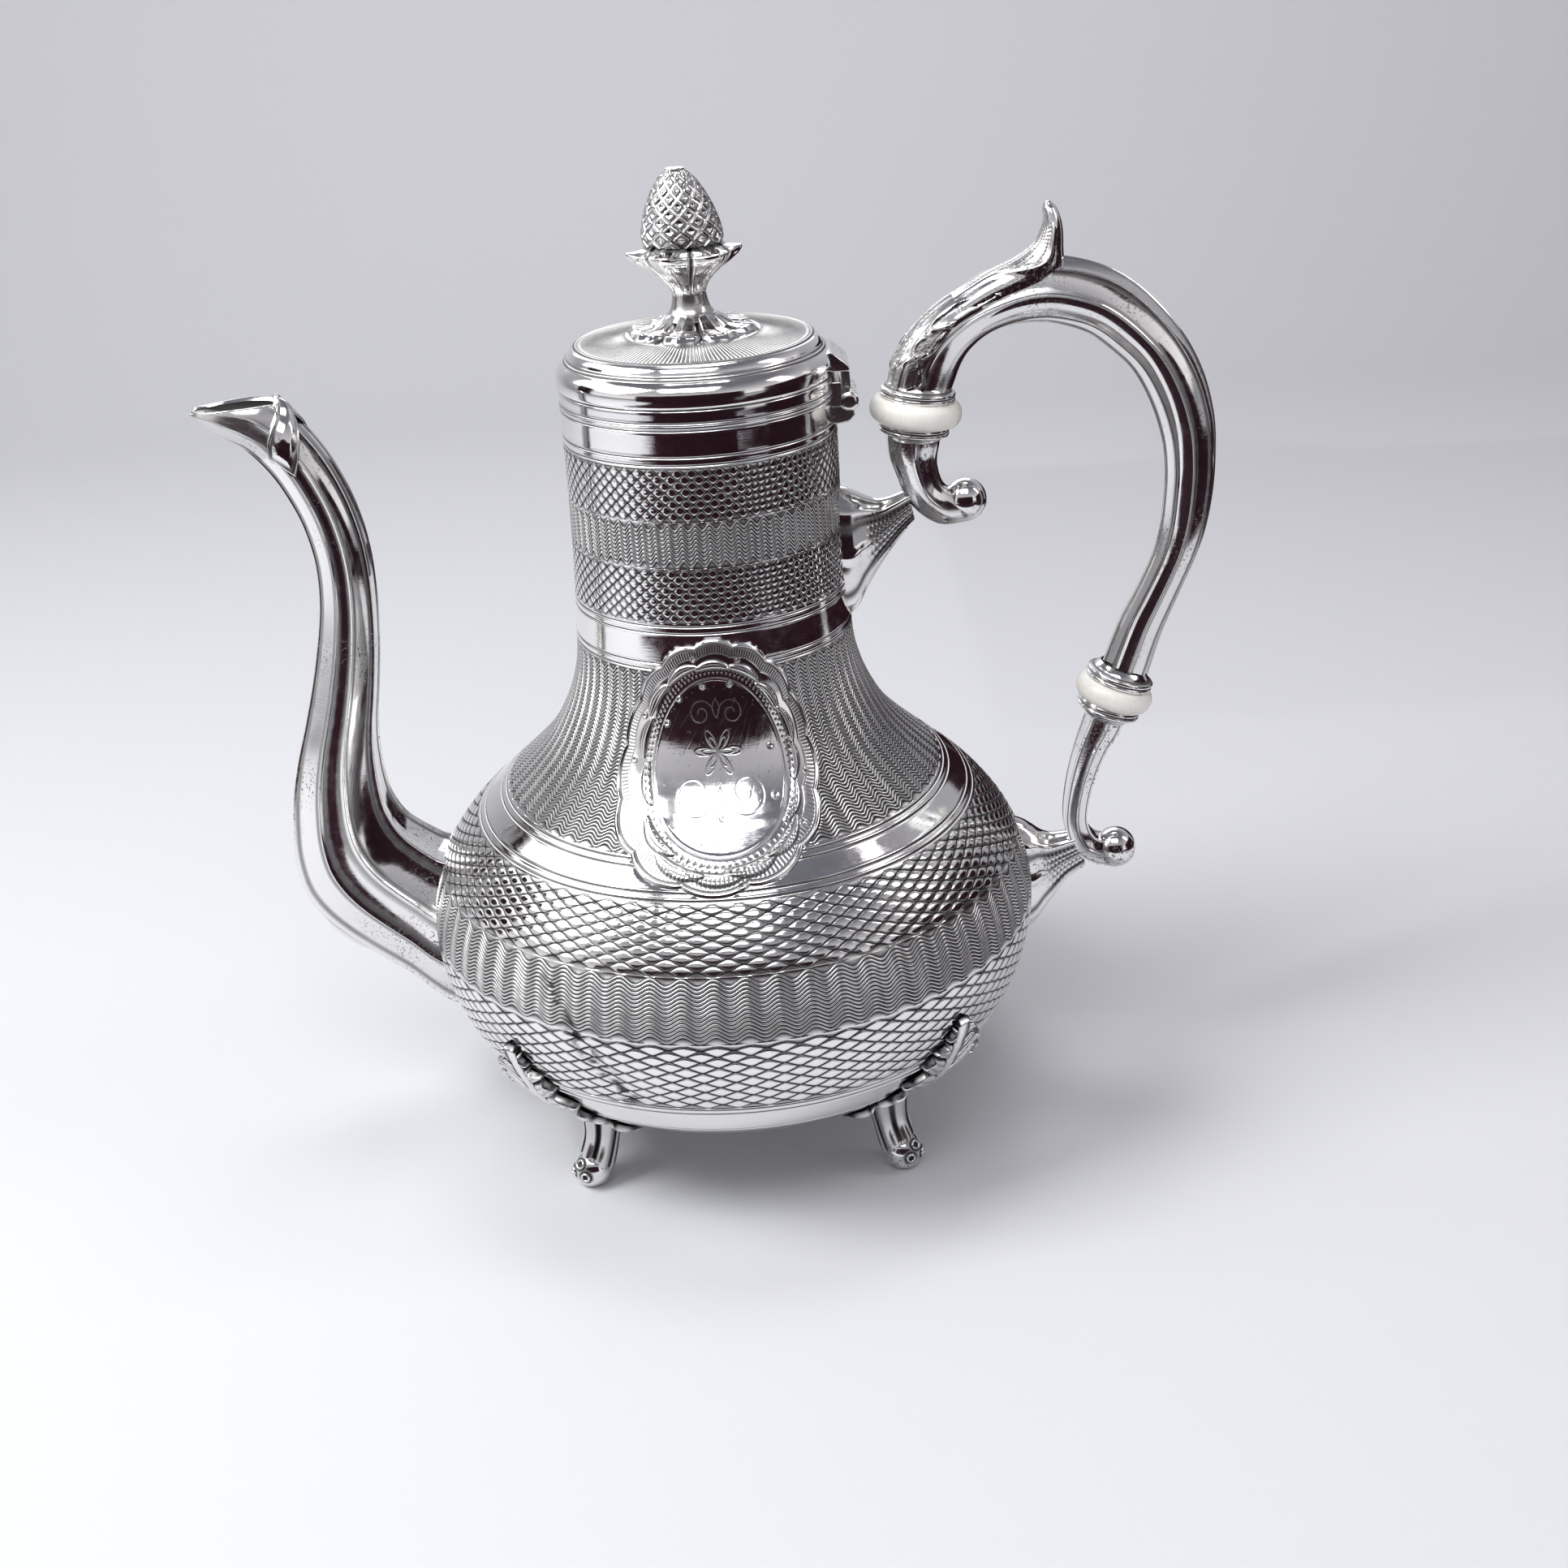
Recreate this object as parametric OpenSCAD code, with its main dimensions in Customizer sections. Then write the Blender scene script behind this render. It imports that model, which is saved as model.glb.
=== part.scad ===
// Pear-shaped silver coffee pot: hollow vessel, cast spout, scroll handle with two white
// insulating rings, hinged cap lid with a cone finial, and four leaf-mounted feet.
// The pot stands on Z = 0 with its axis on Z. The handle is at +X and the spout at -X.

/* [Vessel] */
// Outside radius of the straight neck
neck_r = 33; // [31:0.5:34]
// Outside radius of the belly at its widest
belly_r = 79; // [78:0.5:81]
// Height of the neck's top edge above the table
neck_top_z = 200.5; // [200:0.1:201]
// Wall of the spun sheet
wall = 1; // [0.8:0.1:1.2]
// Radius of the pour hole behind the spout
pour_hole_r = 9; // [7:0.5:10]
// Height of the pour hole's axis
pour_hole_z = 62; // [60:0.5:64]

/* [Spout] */
// Thickness of the cast spout's wall
spout_wall = 1.3; // [1:0.1:1.6]
// Height of the pouring lip's open rim
lip_z = 199.4; // [199:0.1:199.8]

/* [Lid] */
// Outside radius of the lid's side
lid_r = 33.2; // [33:0.1:33.5]
// Gap between the lid's edge and the neck
lid_gap = 0.3; // [0.2:0.05:0.5]
// Height of the lid's crown at its centre
lid_top_z = 212; // [211:0.5:213]
// Outside radius of the bezel under the lid
bezel_r = 29.9; // [29.5:0.1:30]

/* [Finial] */
// Height of the finial's tip above the table
finial_top_z = 249; // [245:0.5:252]
// Radius across the tips of the finial's calyx
calyx_r = 13.5; // [12:0.5:14]
// Number of petals round the finial's foot
petals = 8; // [6:1:10]

/* [Hinge] */
// Distance of the hinge pin from the pot's axis
hinge_x = 35.8; // [35.6:0.1:36]
// Height of the hinge pin
hinge_z = 194.2; // [193.8:0.1:194.6]
// Radius of the hinge knuckles
knuckle_r = 2.4; // [2.3:0.1:2.5]
// Radius of the hinge pin
pin_r = 1.1; // [1:0.1:1.2]
// Overall width of the hinge
hinge_w = 16; // [14:0.5:18]

/* [Handle] */
// Radius of the upper white ring
upper_ring_r = 11.2; // [10.5:0.1:11.5]
// Radius of the lower white ring
lower_ring_r = 10; // [9.5:0.1:10.5]
// Thickness of each white ring
ring_t = 6; // [5:0.5:6]
// Radius of the studs that hold the rings
stud_r = 2.4; // [2:0.1:2.6]

/* [Feet] */
// Distance of the toes from the pot's axis
toe_r = 57.5; // [56:0.5:60]
// Thickness of the leaves that carry the feet
leaf_t = 2.2; // [1.8:0.1:2.6]

/* [Hidden] */
$fn = 96;
silver = "silver";
bone = "ivory";

solder_gap = 0.05;       // between pieces that are soldered face to face
running_gap = 0.05;      // between the hinge pin and its knuckles
side_gap = 0.3;          // between neighbouring knuckles
far = 400;               // longer than anything it cuts
base_z = 23.5;           // underside of the vessel
flange_r = 40;           // hole in the vessel's floor that the base plate closes
lid_z = neck_top_z + lid_gap;
lid_wall = 1;

// Outer outline of the vessel, [radius, height], from the edge of its floor to the neck
vessel_nodes = [[46, base_z], [60, 26.5], [69, 33], [74.5, 42.5], [belly_r - 1.4, 51.5], [belly_r, 61],
                [belly_r - 1, 71], [belly_r - 5, 81], [66, 91], [54.8, 101], [44.6, 111], [38.6, 121],
                [35.3, 131], [34.3, 141], [neck_r + 0.8, 150], [neck_r + 0.2, 166], [neck_r, 182],
                [neck_r, neck_top_z]];

// Castings in the XZ plane. Each station is [outer x, outer z, inner x, inner z, half width along Y]
spout_stations = [[-66, 33, -62, 82, 20], [-76, 34.6, -69, 82.5, 18.5], [-81.5, 38.4, -74.8, 83.2, 17],
                  [-88, 44.6, -78.4, 85.3, 16], [-96, 50.6, -81.3, 87.7, 15], [-104, 57, -83.4, 90, 14],
                  [-110, 63.2, -85.2, 93.5, 13.2], [-113.8, 70, -86.4, 97.6, 12.5], [-115.2, 78.7, -87, 102.5, 11.7],
                  [-114.7, 88, -87.2, 107.5, 11], [-113.2, 97.5, -87.1, 112.5, 10.5], [-110.4, 107.7, -86.5, 118.7, 10],
                  [-106.8, 118, -85.4, 125.5, 9.5], [-103.2, 129, -84.4, 132.5, 9.1], [-100.3, 139.5, -83.5, 140, 8.7],
                  [-98, 150, -82.8, 150, 8.3], [-97.3, 160, -82.7, 160, 8], [-98.3, 168.1, -83.6, 169, 7.7],
                  [-100.4, 175, -86, 178.6, 7.4], [-104.3, 183, -90, 188, 7.2], [-109.4, 189.3, -95.2, 195.6, 7],
                  [-113.2, 192, -100.5, 200, 6.8], [-116.4, 194.5, -107, 201, 6.2], [-119.2, 196.9, -114, 201.2, 4.8],
                  [-121.2, 198.4, -119.8, 200, 2.4]];
handle_stations = [[44.9, 195.4, 60.8, 194, 7.5], [47, 202.3, 63.4, 200.4, 7.5], [52, 209.7, 66.3, 204.1, 7.4],
                   [60, 216, 70.2, 206.7, 7.3], [70, 220.8, 75.1, 208.3, 7.2], [79.5, 223.6, 79.9, 208.7, 7.2],
                   [88.5, 223.6, 85.6, 208.1, 7.2], [98.9, 220.2, 92.9, 205.6, 7.2], [107.5, 214.1, 99, 201, 7.1],
                   [115.5, 205, 104.3, 195.6, 7], [121, 195, 108.6, 187.6, 6.8], [124.1, 184, 111.4, 179, 6.6],
                   [124.8, 173.9, 112.4, 171, 6.4], [124.5, 165.2, 112.2, 163.8, 6.2], [123.3, 156.8, 111.6, 157, 6],
                   [121.2, 149.2, 110.2, 150.8, 5.8], [118.3, 142, 108, 145.2, 5.6], [115.3, 134.8, 105, 139, 5.6],
                   [112.6, 127.8, 101.8, 132.6, 5.7], [109.4, 116.8, 97.4, 120.8, 5.8]];
thumb_leaf_stations = [[61, 216.6, 66, 208, 6.4], [68.5, 220.9, 72, 211, 6.3], [76, 224.2, 80, 214, 6],
                       [80.2, 227.2, 86.8, 219, 5.5], [82, 230.2, 87.3, 226.6, 4.8], [82.6, 232.8, 87, 231.2, 3.9],
                       [82.5, 235, 85.8, 234.8, 2.7], [83, 236.4, 84.2, 236.6, 1]];
upper_hook_stations = [[58.6, 183.4, 44, 185.2, 6.8], [58.3, 181, 44, 182.8, 6.6], [57.6, 177.8, 44.5, 178.6, 6.2], [57.8, 174.4, 46, 174, 5.8],
                       [58.8, 171.4, 48, 169, 5.4], [60.4, 170, 51.4, 164.2, 5.1], [62, 169.6, 56.2, 160.9, 4.8],
                       [63.4, 169.4, 61, 160.6, 4.6]];
upper_bracket_stations = [[26, 173.5, 26, 137, 9.6], [33.5, 171.6, 34.8, 139, 9], [36.6, 170.3, 38.8, 145.6, 7.6],
                          [39.4, 168.9, 42, 150.8, 6.2], [42.2, 168, 45, 155, 5.2], [45, 168.4, 47.8, 158.6, 4.5],
                          [49.5, 170, 51, 162.2, 4]];
lower_hook_stations = [[104.6, 106, 93.4, 110, 5.7], [103.4, 102.4, 92.2, 106, 5.5], [100.2, 97.4, 90.2, 99.4, 5], [97.2, 90, 88.3, 91, 4.6],
                       [95.4, 82.4, 87.2, 82.4, 4.4], [95.4, 77, 87.3, 75.4, 4.3], [97.4, 73.6, 89.6, 68.6, 4.3],
                       [99.8, 73, 94.4, 64.4, 4.3], [101.8, 72.6, 99.4, 63.2, 4.3]];
lower_bracket_stations = [[70, 81, 68, 44, 8.6], [76.8, 78.4, 78.6, 46.6, 8], [79.6, 76.6, 83.4, 52.6, 6.9],
                          [82.6, 74.4, 86.6, 57, 5.7], [85.8, 73.8, 89.4, 60.6, 4.8], [91, 74.4, 94, 64, 4]];
// Leg of a foot in its own radial plane: [outer r, outer z, inner r, inner z, half width across it]
leg_stations = [[60, 36, 42, 32, 8.4], [58.6, 27, 44.6, 25.4, 7.4], [57.4, 20, 46.8, 19.4, 6.2], [57.6, 13.5, 48.4, 12.4, 5.2],
                [60, 8, 50.4, 5.6, 5], [61, 2.4, 54, 1.2, 4.4]];
// Half of a foot's leaf seen from outside, [across, height]
leaf_half = [[0, 53.5], [4, 50.5], [5.5, 46.5], [9.5, 44.5], [10.5, 39.5], [14.5, 36.5], [16, 32], [22, 29.5],
             [20, 25.5], [10, 24.5], [0, 24]];

// Ring seats on the handle's ends: [centre x, centre z, tilt of the ring's axis from Z]
upper_seat = [52, 189.4, 7.6];
lower_seat = [100.9, 113.3, 19];
upper_ball = [63.6, 166.6, 5.2];
lower_ball = [101.9, 68.6, 5.4];
collar_t = 2.4;          // thickness of the metal collars above and below each white ring
socket_bore = 7;         // depth of the stud's hole in each casting

// Point on a smooth curve between p1 and p2, for a share t from 0 to 1
function between(p0, p1, p2, p3, t) =
    0.5 * (2 * p1 + (p2 - p0) * t + (2 * p0 - 5 * p1 + 4 * p2 - p3) * t * t
           + (3 * p1 - p0 - 3 * p2 + p3) * t * t * t);
// Smooth curve through every point of p, with steps points for each span
function smooth_curve(p, steps) =
    let (last = len(p) - 1)
    concat([for (i = [0 : last - 1]) for (k = [0 : steps - 1])
                between(p[max(i - 1, 0)], p[i], p[i + 1], p[min(i + 2, last)], k / steps)], [p[last]]);
function direction(p, i) =
    let (a = p[max(i - 1, 0)], b = p[min(i + 1, len(p) - 1)], d = [b[0] - a[0], b[1] - a[1]]) d / norm(d);
// Outline moved inwards by t along its own normal
function inset(p, t) = [for (i = [0 : len(p) - 1]) let (d = direction(p, i)) [p[i][0] - d[1] * t, p[i][1] + d[0] * t]];

vessel_curve = smooth_curve(vessel_nodes, 3);

// Solid of elliptical section that passes through every station, less a share of its thickness
module sweep(stations, sides = 20, thinner = 0) {
    last = len(stations) - 1;
    points = [for (s = stations)
              let (middle = [s[0] + s[2], s[1] + s[3]] / 2, across = [s[0] - s[2], s[1] - s[3]] / 2,
                   reach = across * (1 - thinner / norm(across)))
              for (k = [0 : sides - 1]) let (a = 360 * k / sides, p = middle + reach * cos(a))
                  [p[0], (s[4] - thinner) * sin(a), p[1]]];
    sides_faces = [for (i = [0 : last - 1]) for (k = [0 : sides - 1]) let (n = (k + 1) % sides, o = i * sides)
                   [o + k, o + n, o + sides + n, o + sides + k]];
    start_cap = [for (k = [sides - 1 : -1 : 0]) k];
    end_cap = [for (k = [0 : sides - 1]) last * sides + k];
    polyhedron(points, concat(sides_faces, [start_cap, end_cap]), convexity = 6);
}

module vessel_solid(grow = 0) {
    outer = inset(vessel_curve, -grow);
    rotate_extrude()
        polygon(concat([[0, base_z - grow]], outer, [[neck_r + grow, far], [0, far]]));
}

module vessel() {
    color(silver)
    difference() {
        rotate_extrude() {
            inner = inset(vessel_curve, wall);
            polygon(concat([[flange_r, base_z]], vessel_curve,
                           [for (i = [len(inner) - 1 : -1 : 0]) [inner[i][0], min(inner[i][1], neck_top_z)]],
                           [[flange_r, base_z + wall]]));
        }
        translate([0, 0, pour_hole_z])
            rotate([0, -90, 0])
                cylinder(r = pour_hole_r, h = belly_r + 10);
    }
}

module base_plate() {
    dish_h = 1.6;        // rise of the dished centre
    color(silver)
    translate([0, 0, base_z + wall])
        rotate_extrude()
            polygon([[0, dish_h], [30, dish_h], [36, 0], [45, 0], [45, wall], [36.4, wall],
                     [30.4, wall + dish_h], [0, wall + dish_h]]);
}

module spout() {
    stations = smooth_curve(spout_stations, 2);
    lip_x = -102;        // back end of the open lip
    color(silver)
    difference() {
        sweep(stations);
        sweep(concat([[-60, 34, -56, 81, 20]], [for (s = stations) if (s[4] > 3.4) s]), 20, spout_wall);
        vessel_solid(solder_gap);
        translate([lip_x - 30, -20, lip_z])
            cube([30, 40, 20]);
    }
}

module lid_cap() {
    top = [[lid_r, lid_z], [lid_r + 0.1, lid_z + 1.2], [lid_r, lid_z + 3.2], [32.3, 205.6], [30.7, 207],
           [29.8, 208.8], [28.4, 209.8], [24, 210.4], [17, 211.3], [9, 211.9], [2.1, lid_top_z]];
    curve = smooth_curve(top, 2);
    inner = inset(curve, lid_wall);
    color(silver)
    rotate_extrude()
        polygon(concat([[lid_r - lid_wall, lid_z]], curve,
                       [for (i = [len(inner) - 1 : -1 : 1]) [max(inner[i][0], 2.1), inner[i][1]]]));
}

module lid_bezel() {
    flange_z = 201.7;
    flange_t = 1;
    drop = 1.6;          // reach below the neck's top edge
    color(silver)
    rotate_extrude()
        polygon([[bezel_r - 0.8, neck_top_z - drop], [bezel_r, neck_top_z - drop], [bezel_r, flange_z],
                 [lid_r - lid_wall - solder_gap, flange_z], [lid_r - lid_wall - solder_gap, flange_z + flange_t],
                 [bezel_r - 0.8, flange_z + flange_t]]);
}

module petal_rosette() {
    rise = 1.9;
    color(silver)
    translate([0, 0, lid_top_z])
        difference() {
            union() {
                rotate_extrude()
                    polygon([[0, 0], [9, 0.4], [6.5, rise + 0.6], [0, rise + 0.9]]);
                for (k = [0 : petals - 1])
                    rotate([0, 0, 360 * (k + 0.5) / petals])
                        translate([10.4, 0, 0])
                            scale([6.2, 6.2, 6.2])
                                rotate_extrude()
                                    polygon([[0, 0], [1, 0], [0.9, 0.16], [0.5, 0.28], [0, 0.32]]);
            }
            rotate_extrude()
                polygon([[0, -far], [30, -far], [30, -1.9], [24, -1.6], [17, -0.65], [9, -0.05], [0, 0.05]]);
            cylinder(r = 2.1, h = 20);
        }
}

module finial() {
    foot_z = lid_top_z + 2.9;
    h = finial_top_z - foot_z;
    stem = smooth_curve([[7, 0], [4.9, 2.4], [4.1, 5.6], [5.2, 8.6], [8.4, 12], [calyx_r - 2.6, 15.4],
                         [calyx_r - 2.4, 16.6], [9.6, 17.4]], 2);
    cone = smooth_curve([[9.2, 17.8], [9.2, 20.4], [8, 25], [5.6, 29.8], [2.6, 33.2], [1.6, h]], 2);
    color(silver)
    translate([0, 0, foot_z])
        difference() {
            union() {
                rotate_extrude()
                    polygon(concat([[0, 0]], stem, cone, [[0, h]]));
                for (k = [0 : 5])
                    rotate([0, 0, 60 * k + 12])
                        translate([calyx_r - 5.4, 0, 14.9])
                            rotate([0, 78, 0])
                                cylinder(r1 = 2.7, r2 = 1.1, h = 5.2, $fn = 24);
            }
            translate([0, 0, -1])
                cylinder(r = 1.65, h = 9);
        }
}

module finial_stud() {
    color(silver)
    translate([0, 0, lid_top_z - 5.6])
        cylinder(r = 1.6, h = 16);
}

module finial_washer() {
    color(silver)
    translate([0, 0, lid_top_z - lid_wall - 0.9])
        difference() {
            cylinder(r = 4.6, h = 0.8);
            translate([0, 0, -1])
                cylinder(r = 1.7, h = 4);
        }
}

module finial_nut() {
    color(silver)
    translate([0, 0, lid_top_z - lid_wall - 3.5])
        difference() {
            cylinder(r = 3.4, h = 2.3, $fn = 6);
            translate([0, 0, -1])
                cylinder(r = 1.65, h = 6);
        }
}

// Cylinder along Y on the hinge's axis
module on_hinge(r, y0, y1) {
    translate([hinge_x, y0, hinge_z])
        rotate([-90, 0, 0])
            cylinder(r = r, h = y1 - y0, $fn = 48);
}

knuckle_w = hinge_w / 2 - 5;      // half width of the lid's middle knuckle

module hinge_neck_leaf() {
    color(silver)
    difference() {
        union() {
            for (side = [-1, 1])
                on_hinge(knuckle_r, side > 0 ? knuckle_w + side_gap : -hinge_w / 2,
                         side > 0 ? hinge_w / 2 : -knuckle_w - side_gap);
            translate([30, -hinge_w / 2, 189])
                cube([hinge_x - 30 + 0.4, hinge_w, 4.6]);
            translate([30, -hinge_w / 2, 189])
                cube([hinge_x - 30 - 1.7, hinge_w, 10.2]);
        }
        vessel_solid(solder_gap);
        on_hinge(pin_r + running_gap, -hinge_w, hinge_w);
        on_hinge(knuckle_r + side_gap, -knuckle_w - side_gap, knuckle_w + side_gap);
    }
}

module hinge_lid_leaf() {
    arm = [[hinge_x - 1.4, hinge_z + 1.6], [hinge_x + 0.9, hinge_z + 1.6], [hinge_x + 0.5, hinge_z + 7.2],
           [hinge_x - 1.4, hinge_z + 7.2]];
    plate = [[30, 201.4], [hinge_x + 0.5, 201.4], [hinge_x - 0.8, 203.6], [31.5, 206.4], [30, 206.4]];
    color(silver)
    difference() {
        union() {
            on_hinge(knuckle_r, -knuckle_w, knuckle_w);
            translate([0, knuckle_w, 0])
                rotate([90, 0, 0])
                    linear_extrude(2 * knuckle_w)
                        polygon(arm);
            translate([0, hinge_w / 2, 0])
                rotate([90, 0, 0])
                    linear_extrude(hinge_w)
                        polygon(plate);
        }
        rotate_extrude()
            polygon([[0, 190], [neck_r + side_gap, 190], [neck_r + side_gap, 200.8], [lid_r + 0.15, 200.8],
                     [lid_r + 0.15, 204], [32.4, 205.7], [30.8, 207.1], [29.8, 210], [0, 210]]);
        on_hinge(pin_r + running_gap, -hinge_w, hinge_w);
    }
}

module hinge_pin() {
    color(silver)
    on_hinge(pin_r, -hinge_w / 2 - 0.4, hinge_w / 2 + 0.4);
}

// Places children on a ring seat, with Z along the ring's axis
module on_seat(seat) {
    translate([seat[0], 0, seat[1]])
        rotate([0, seat[2], 0])
            children();
}

module collar(r, z) {
    translate([0, 0, z])
        rotate_extrude()
            polygon([[0, 0], [r - 0.5, 0], [r, 0.5], [r, collar_t - 0.5], [r - 0.5, collar_t], [0, collar_t]]);
}

module stud_hole(z0, z1) {
    translate([0, 0, z0])
        cylinder(r = stud_r + solder_gap, h = z1 - z0, $fn = 48);
}

module handle() {
    color(silver)
    difference() {
        union() {
            sweep(smooth_curve(handle_stations, 3));
            sweep(smooth_curve(thumb_leaf_stations, 2));
            on_seat(upper_seat) {
                collar(9.1, ring_t / 2);
                translate([0, 0, ring_t / 2 + collar_t])
                    cylinder(r1 = 8.6, r2 = 6.6, h = 4);
            }
            on_seat(lower_seat) {
                collar(8.6, ring_t / 2);
                translate([0, 0, ring_t / 2 + collar_t])
                    cylinder(r1 = 7.4, r2 = 5.2, h = 4);
            }
        }
        on_seat(upper_seat) {
            stud_hole(0, ring_t / 2 + socket_bore);
            translate([0, 0, ring_t / 2 - far])
                cylinder(r = 14, h = far);
        }
        on_seat(lower_seat) {
            stud_hole(0, ring_t / 2 + socket_bore);
            translate([0, 0, ring_t / 2 - 20])
                cylinder(r = 12, h = 20);
        }
    }
}

module insulating_ring(seat, r) {
    half = ring_t / 2;
    color(bone)
    on_seat(seat)
        difference() {
            rotate_extrude()
                polygon(concat([[0, -half], [r - 2.4, -half]],
                               [for (a = [-75 : 15 : 75]) [r - 2.4 + 2.4 * cos(a), half * sin(a) / sin(75) * 0.97]],
                               [[r - 2.4, half], [0, half]]));
            stud_hole(-far, far);
        }
}

module stud(seat) {
    reach = ring_t / 2 + socket_bore - 0.5;
    color(silver)
    on_seat(seat)
        translate([0, 0, -reach])
            cylinder(r = stud_r, h = 2 * reach, $fn = 48);
}

// Hook-shaped socket with its bracket, ball end and the collar under a white ring
module socket(seat, collar_r, hook, bracket, ball) {
    color(silver)
    difference() {
        union() {
            sweep(smooth_curve(hook, 2), 16);
            sweep(smooth_curve(bracket, 2), 16);
            translate([ball[0], 0, ball[1]])
                sphere(r = ball[2], $fn = 48);
            on_seat(seat) {
                collar(collar_r, -ring_t / 2 - collar_t);
                translate([0, 0, -ring_t / 2 - collar_t - 3])
                    cylinder(r1 = collar_r - 2.6, r2 = collar_r - 0.8, h = 3);
            }
        }
        on_seat(seat) {
            stud_hole(-ring_t / 2 - socket_bore, 0);
            translate([0, 0, -ring_t / 2])
                cylinder(r = 14, h = 20);
        }
        vessel_solid(solder_gap);
    }
}

module foot(angle) {
    color(silver)
    rotate([0, 0, angle])
        difference() {
            union() {
                sweep(smooth_curve(leg_stations, 2), 16);
                translate([toe_r, 0, 4.6])
                    sphere(r = 5, $fn = 48);
                intersection() {
                    vessel_solid(leaf_t);
                    translate([38, 0, 0])
                        rotate([90, 0, 90])
                            linear_extrude(50)
                                polygon(concat(leaf_half, [for (i = [len(leaf_half) - 2 : -1 : 1])
                                                           [-leaf_half[i][0], leaf_half[i][1]]]));
                }
            }
            vessel_solid(solder_gap);
            translate([0, -20, -20])
                cube([100, 40, 20]);
        }
}

vessel();
base_plate();
spout();
lid_cap();
lid_bezel();
petal_rosette();
finial();
finial_stud();
finial_washer();
finial_nut();
hinge_neck_leaf();
hinge_lid_leaf();
hinge_pin();
handle();
insulating_ring(upper_seat, upper_ring_r);  // upper_ring
insulating_ring(lower_seat, lower_ring_r);  // lower_ring
stud(upper_seat);  // upper_stud
stud(lower_seat);  // lower_stud
socket(upper_seat, 8.6, upper_hook_stations, upper_bracket_stations, upper_ball);  // upper_socket
socket(lower_seat, 8.2, lower_hook_stations, lower_bracket_stations, lower_ball);  // lower_socket
foot(-135);  // foot_front_left
foot(-45);  // foot_front_right
foot(135);  // foot_rear_left
foot(45);  // foot_rear_right
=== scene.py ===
"""Looks of the silver coffee pot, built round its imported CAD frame.

Lengths here are in millimetres and are turned into metres when a mesh is made. The pot stands on
Z = 0 with its axis on Z, the handle at +X, the spout at -X and the engraved panel facing -Y.
"""
import math

import bpy
import numpy as np
from mathutils import Matrix, Vector


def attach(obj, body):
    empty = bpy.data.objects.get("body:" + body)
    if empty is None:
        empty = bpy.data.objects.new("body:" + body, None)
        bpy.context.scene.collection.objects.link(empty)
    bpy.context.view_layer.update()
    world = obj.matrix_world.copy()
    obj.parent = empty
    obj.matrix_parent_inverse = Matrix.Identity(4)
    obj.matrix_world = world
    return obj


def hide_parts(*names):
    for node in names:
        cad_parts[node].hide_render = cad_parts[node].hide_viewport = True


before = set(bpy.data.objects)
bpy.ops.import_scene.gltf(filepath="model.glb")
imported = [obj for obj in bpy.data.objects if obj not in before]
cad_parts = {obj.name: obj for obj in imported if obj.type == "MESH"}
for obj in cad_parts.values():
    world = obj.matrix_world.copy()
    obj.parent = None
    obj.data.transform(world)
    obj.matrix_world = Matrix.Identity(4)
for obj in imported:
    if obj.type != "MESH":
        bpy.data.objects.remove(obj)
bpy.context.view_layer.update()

MM = 0.001
TAU = 2 * math.pi
POT, LID = "pot", "lid"
RNG = np.random.default_rng(7)


# ---------------------------------------------------------------- curves and grids

def spline(points, steps):
    """Catmull-Rom curve through every point, with steps points for each span."""
    p = np.asarray(points, float)
    q = np.vstack([2 * p[0] - p[1], p, 2 * p[-1] - p[-2]])
    t = np.linspace(0, 1, steps, endpoint=False)[:, None]
    parts = []
    for i in range(len(p) - 1):
        a, b, c, d = q[i:i + 4]
        parts.append(0.5 * (2 * b + (c - a) * t + (2 * a - 5 * b + 4 * c - d) * t * t
                            + (3 * b - a - 3 * c + d) * t ** 3))
    return np.vstack(parts + [p[-1:]])


def smoothstep(lo, hi, x):
    t = np.clip((np.asarray(x, float) - lo) / (hi - lo), 0, 1)
    return t * t * (3 - 2 * t)


def bell(x, width):
    """1 at x = 0, falling off to both sides within about width."""
    return np.exp(-(x / width) ** 2)


def circle(count):
    return np.linspace(0, TAU, count, endpoint=False)


def signed(angle):
    """The same angle between minus and plus half a turn."""
    return (angle + math.pi) % TAU - math.pi


def arc_length(p):
    return np.concatenate([[0], np.cumsum(np.linalg.norm(np.diff(p, axis=0), axis=1))])


def globe(rows, cols):
    """Points of a unit sphere, from pole to pole."""
    el, az = np.meshgrid(np.linspace(-math.pi / 2, math.pi / 2, rows), circle(cols), indexing="ij")
    return np.stack([np.cos(el) * np.cos(az), np.cos(el) * np.sin(az), np.sin(el)], -1)


def grid_faces(rows, cols, wrap, flip=False):
    """Quads of a grid of points, rows by cols, closed round the columns where wrap is set."""
    r = np.arange(rows - 1)[:, None]
    c = np.arange(cols if wrap else cols - 1)[None, :]
    n = (c + 1) % cols
    f = np.stack([r * cols + c, r * cols + n, (r + 1) * cols + n, (r + 1) * cols + c], -1).reshape(-1, 4)
    return f[:, ::-1] if flip else f


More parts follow.
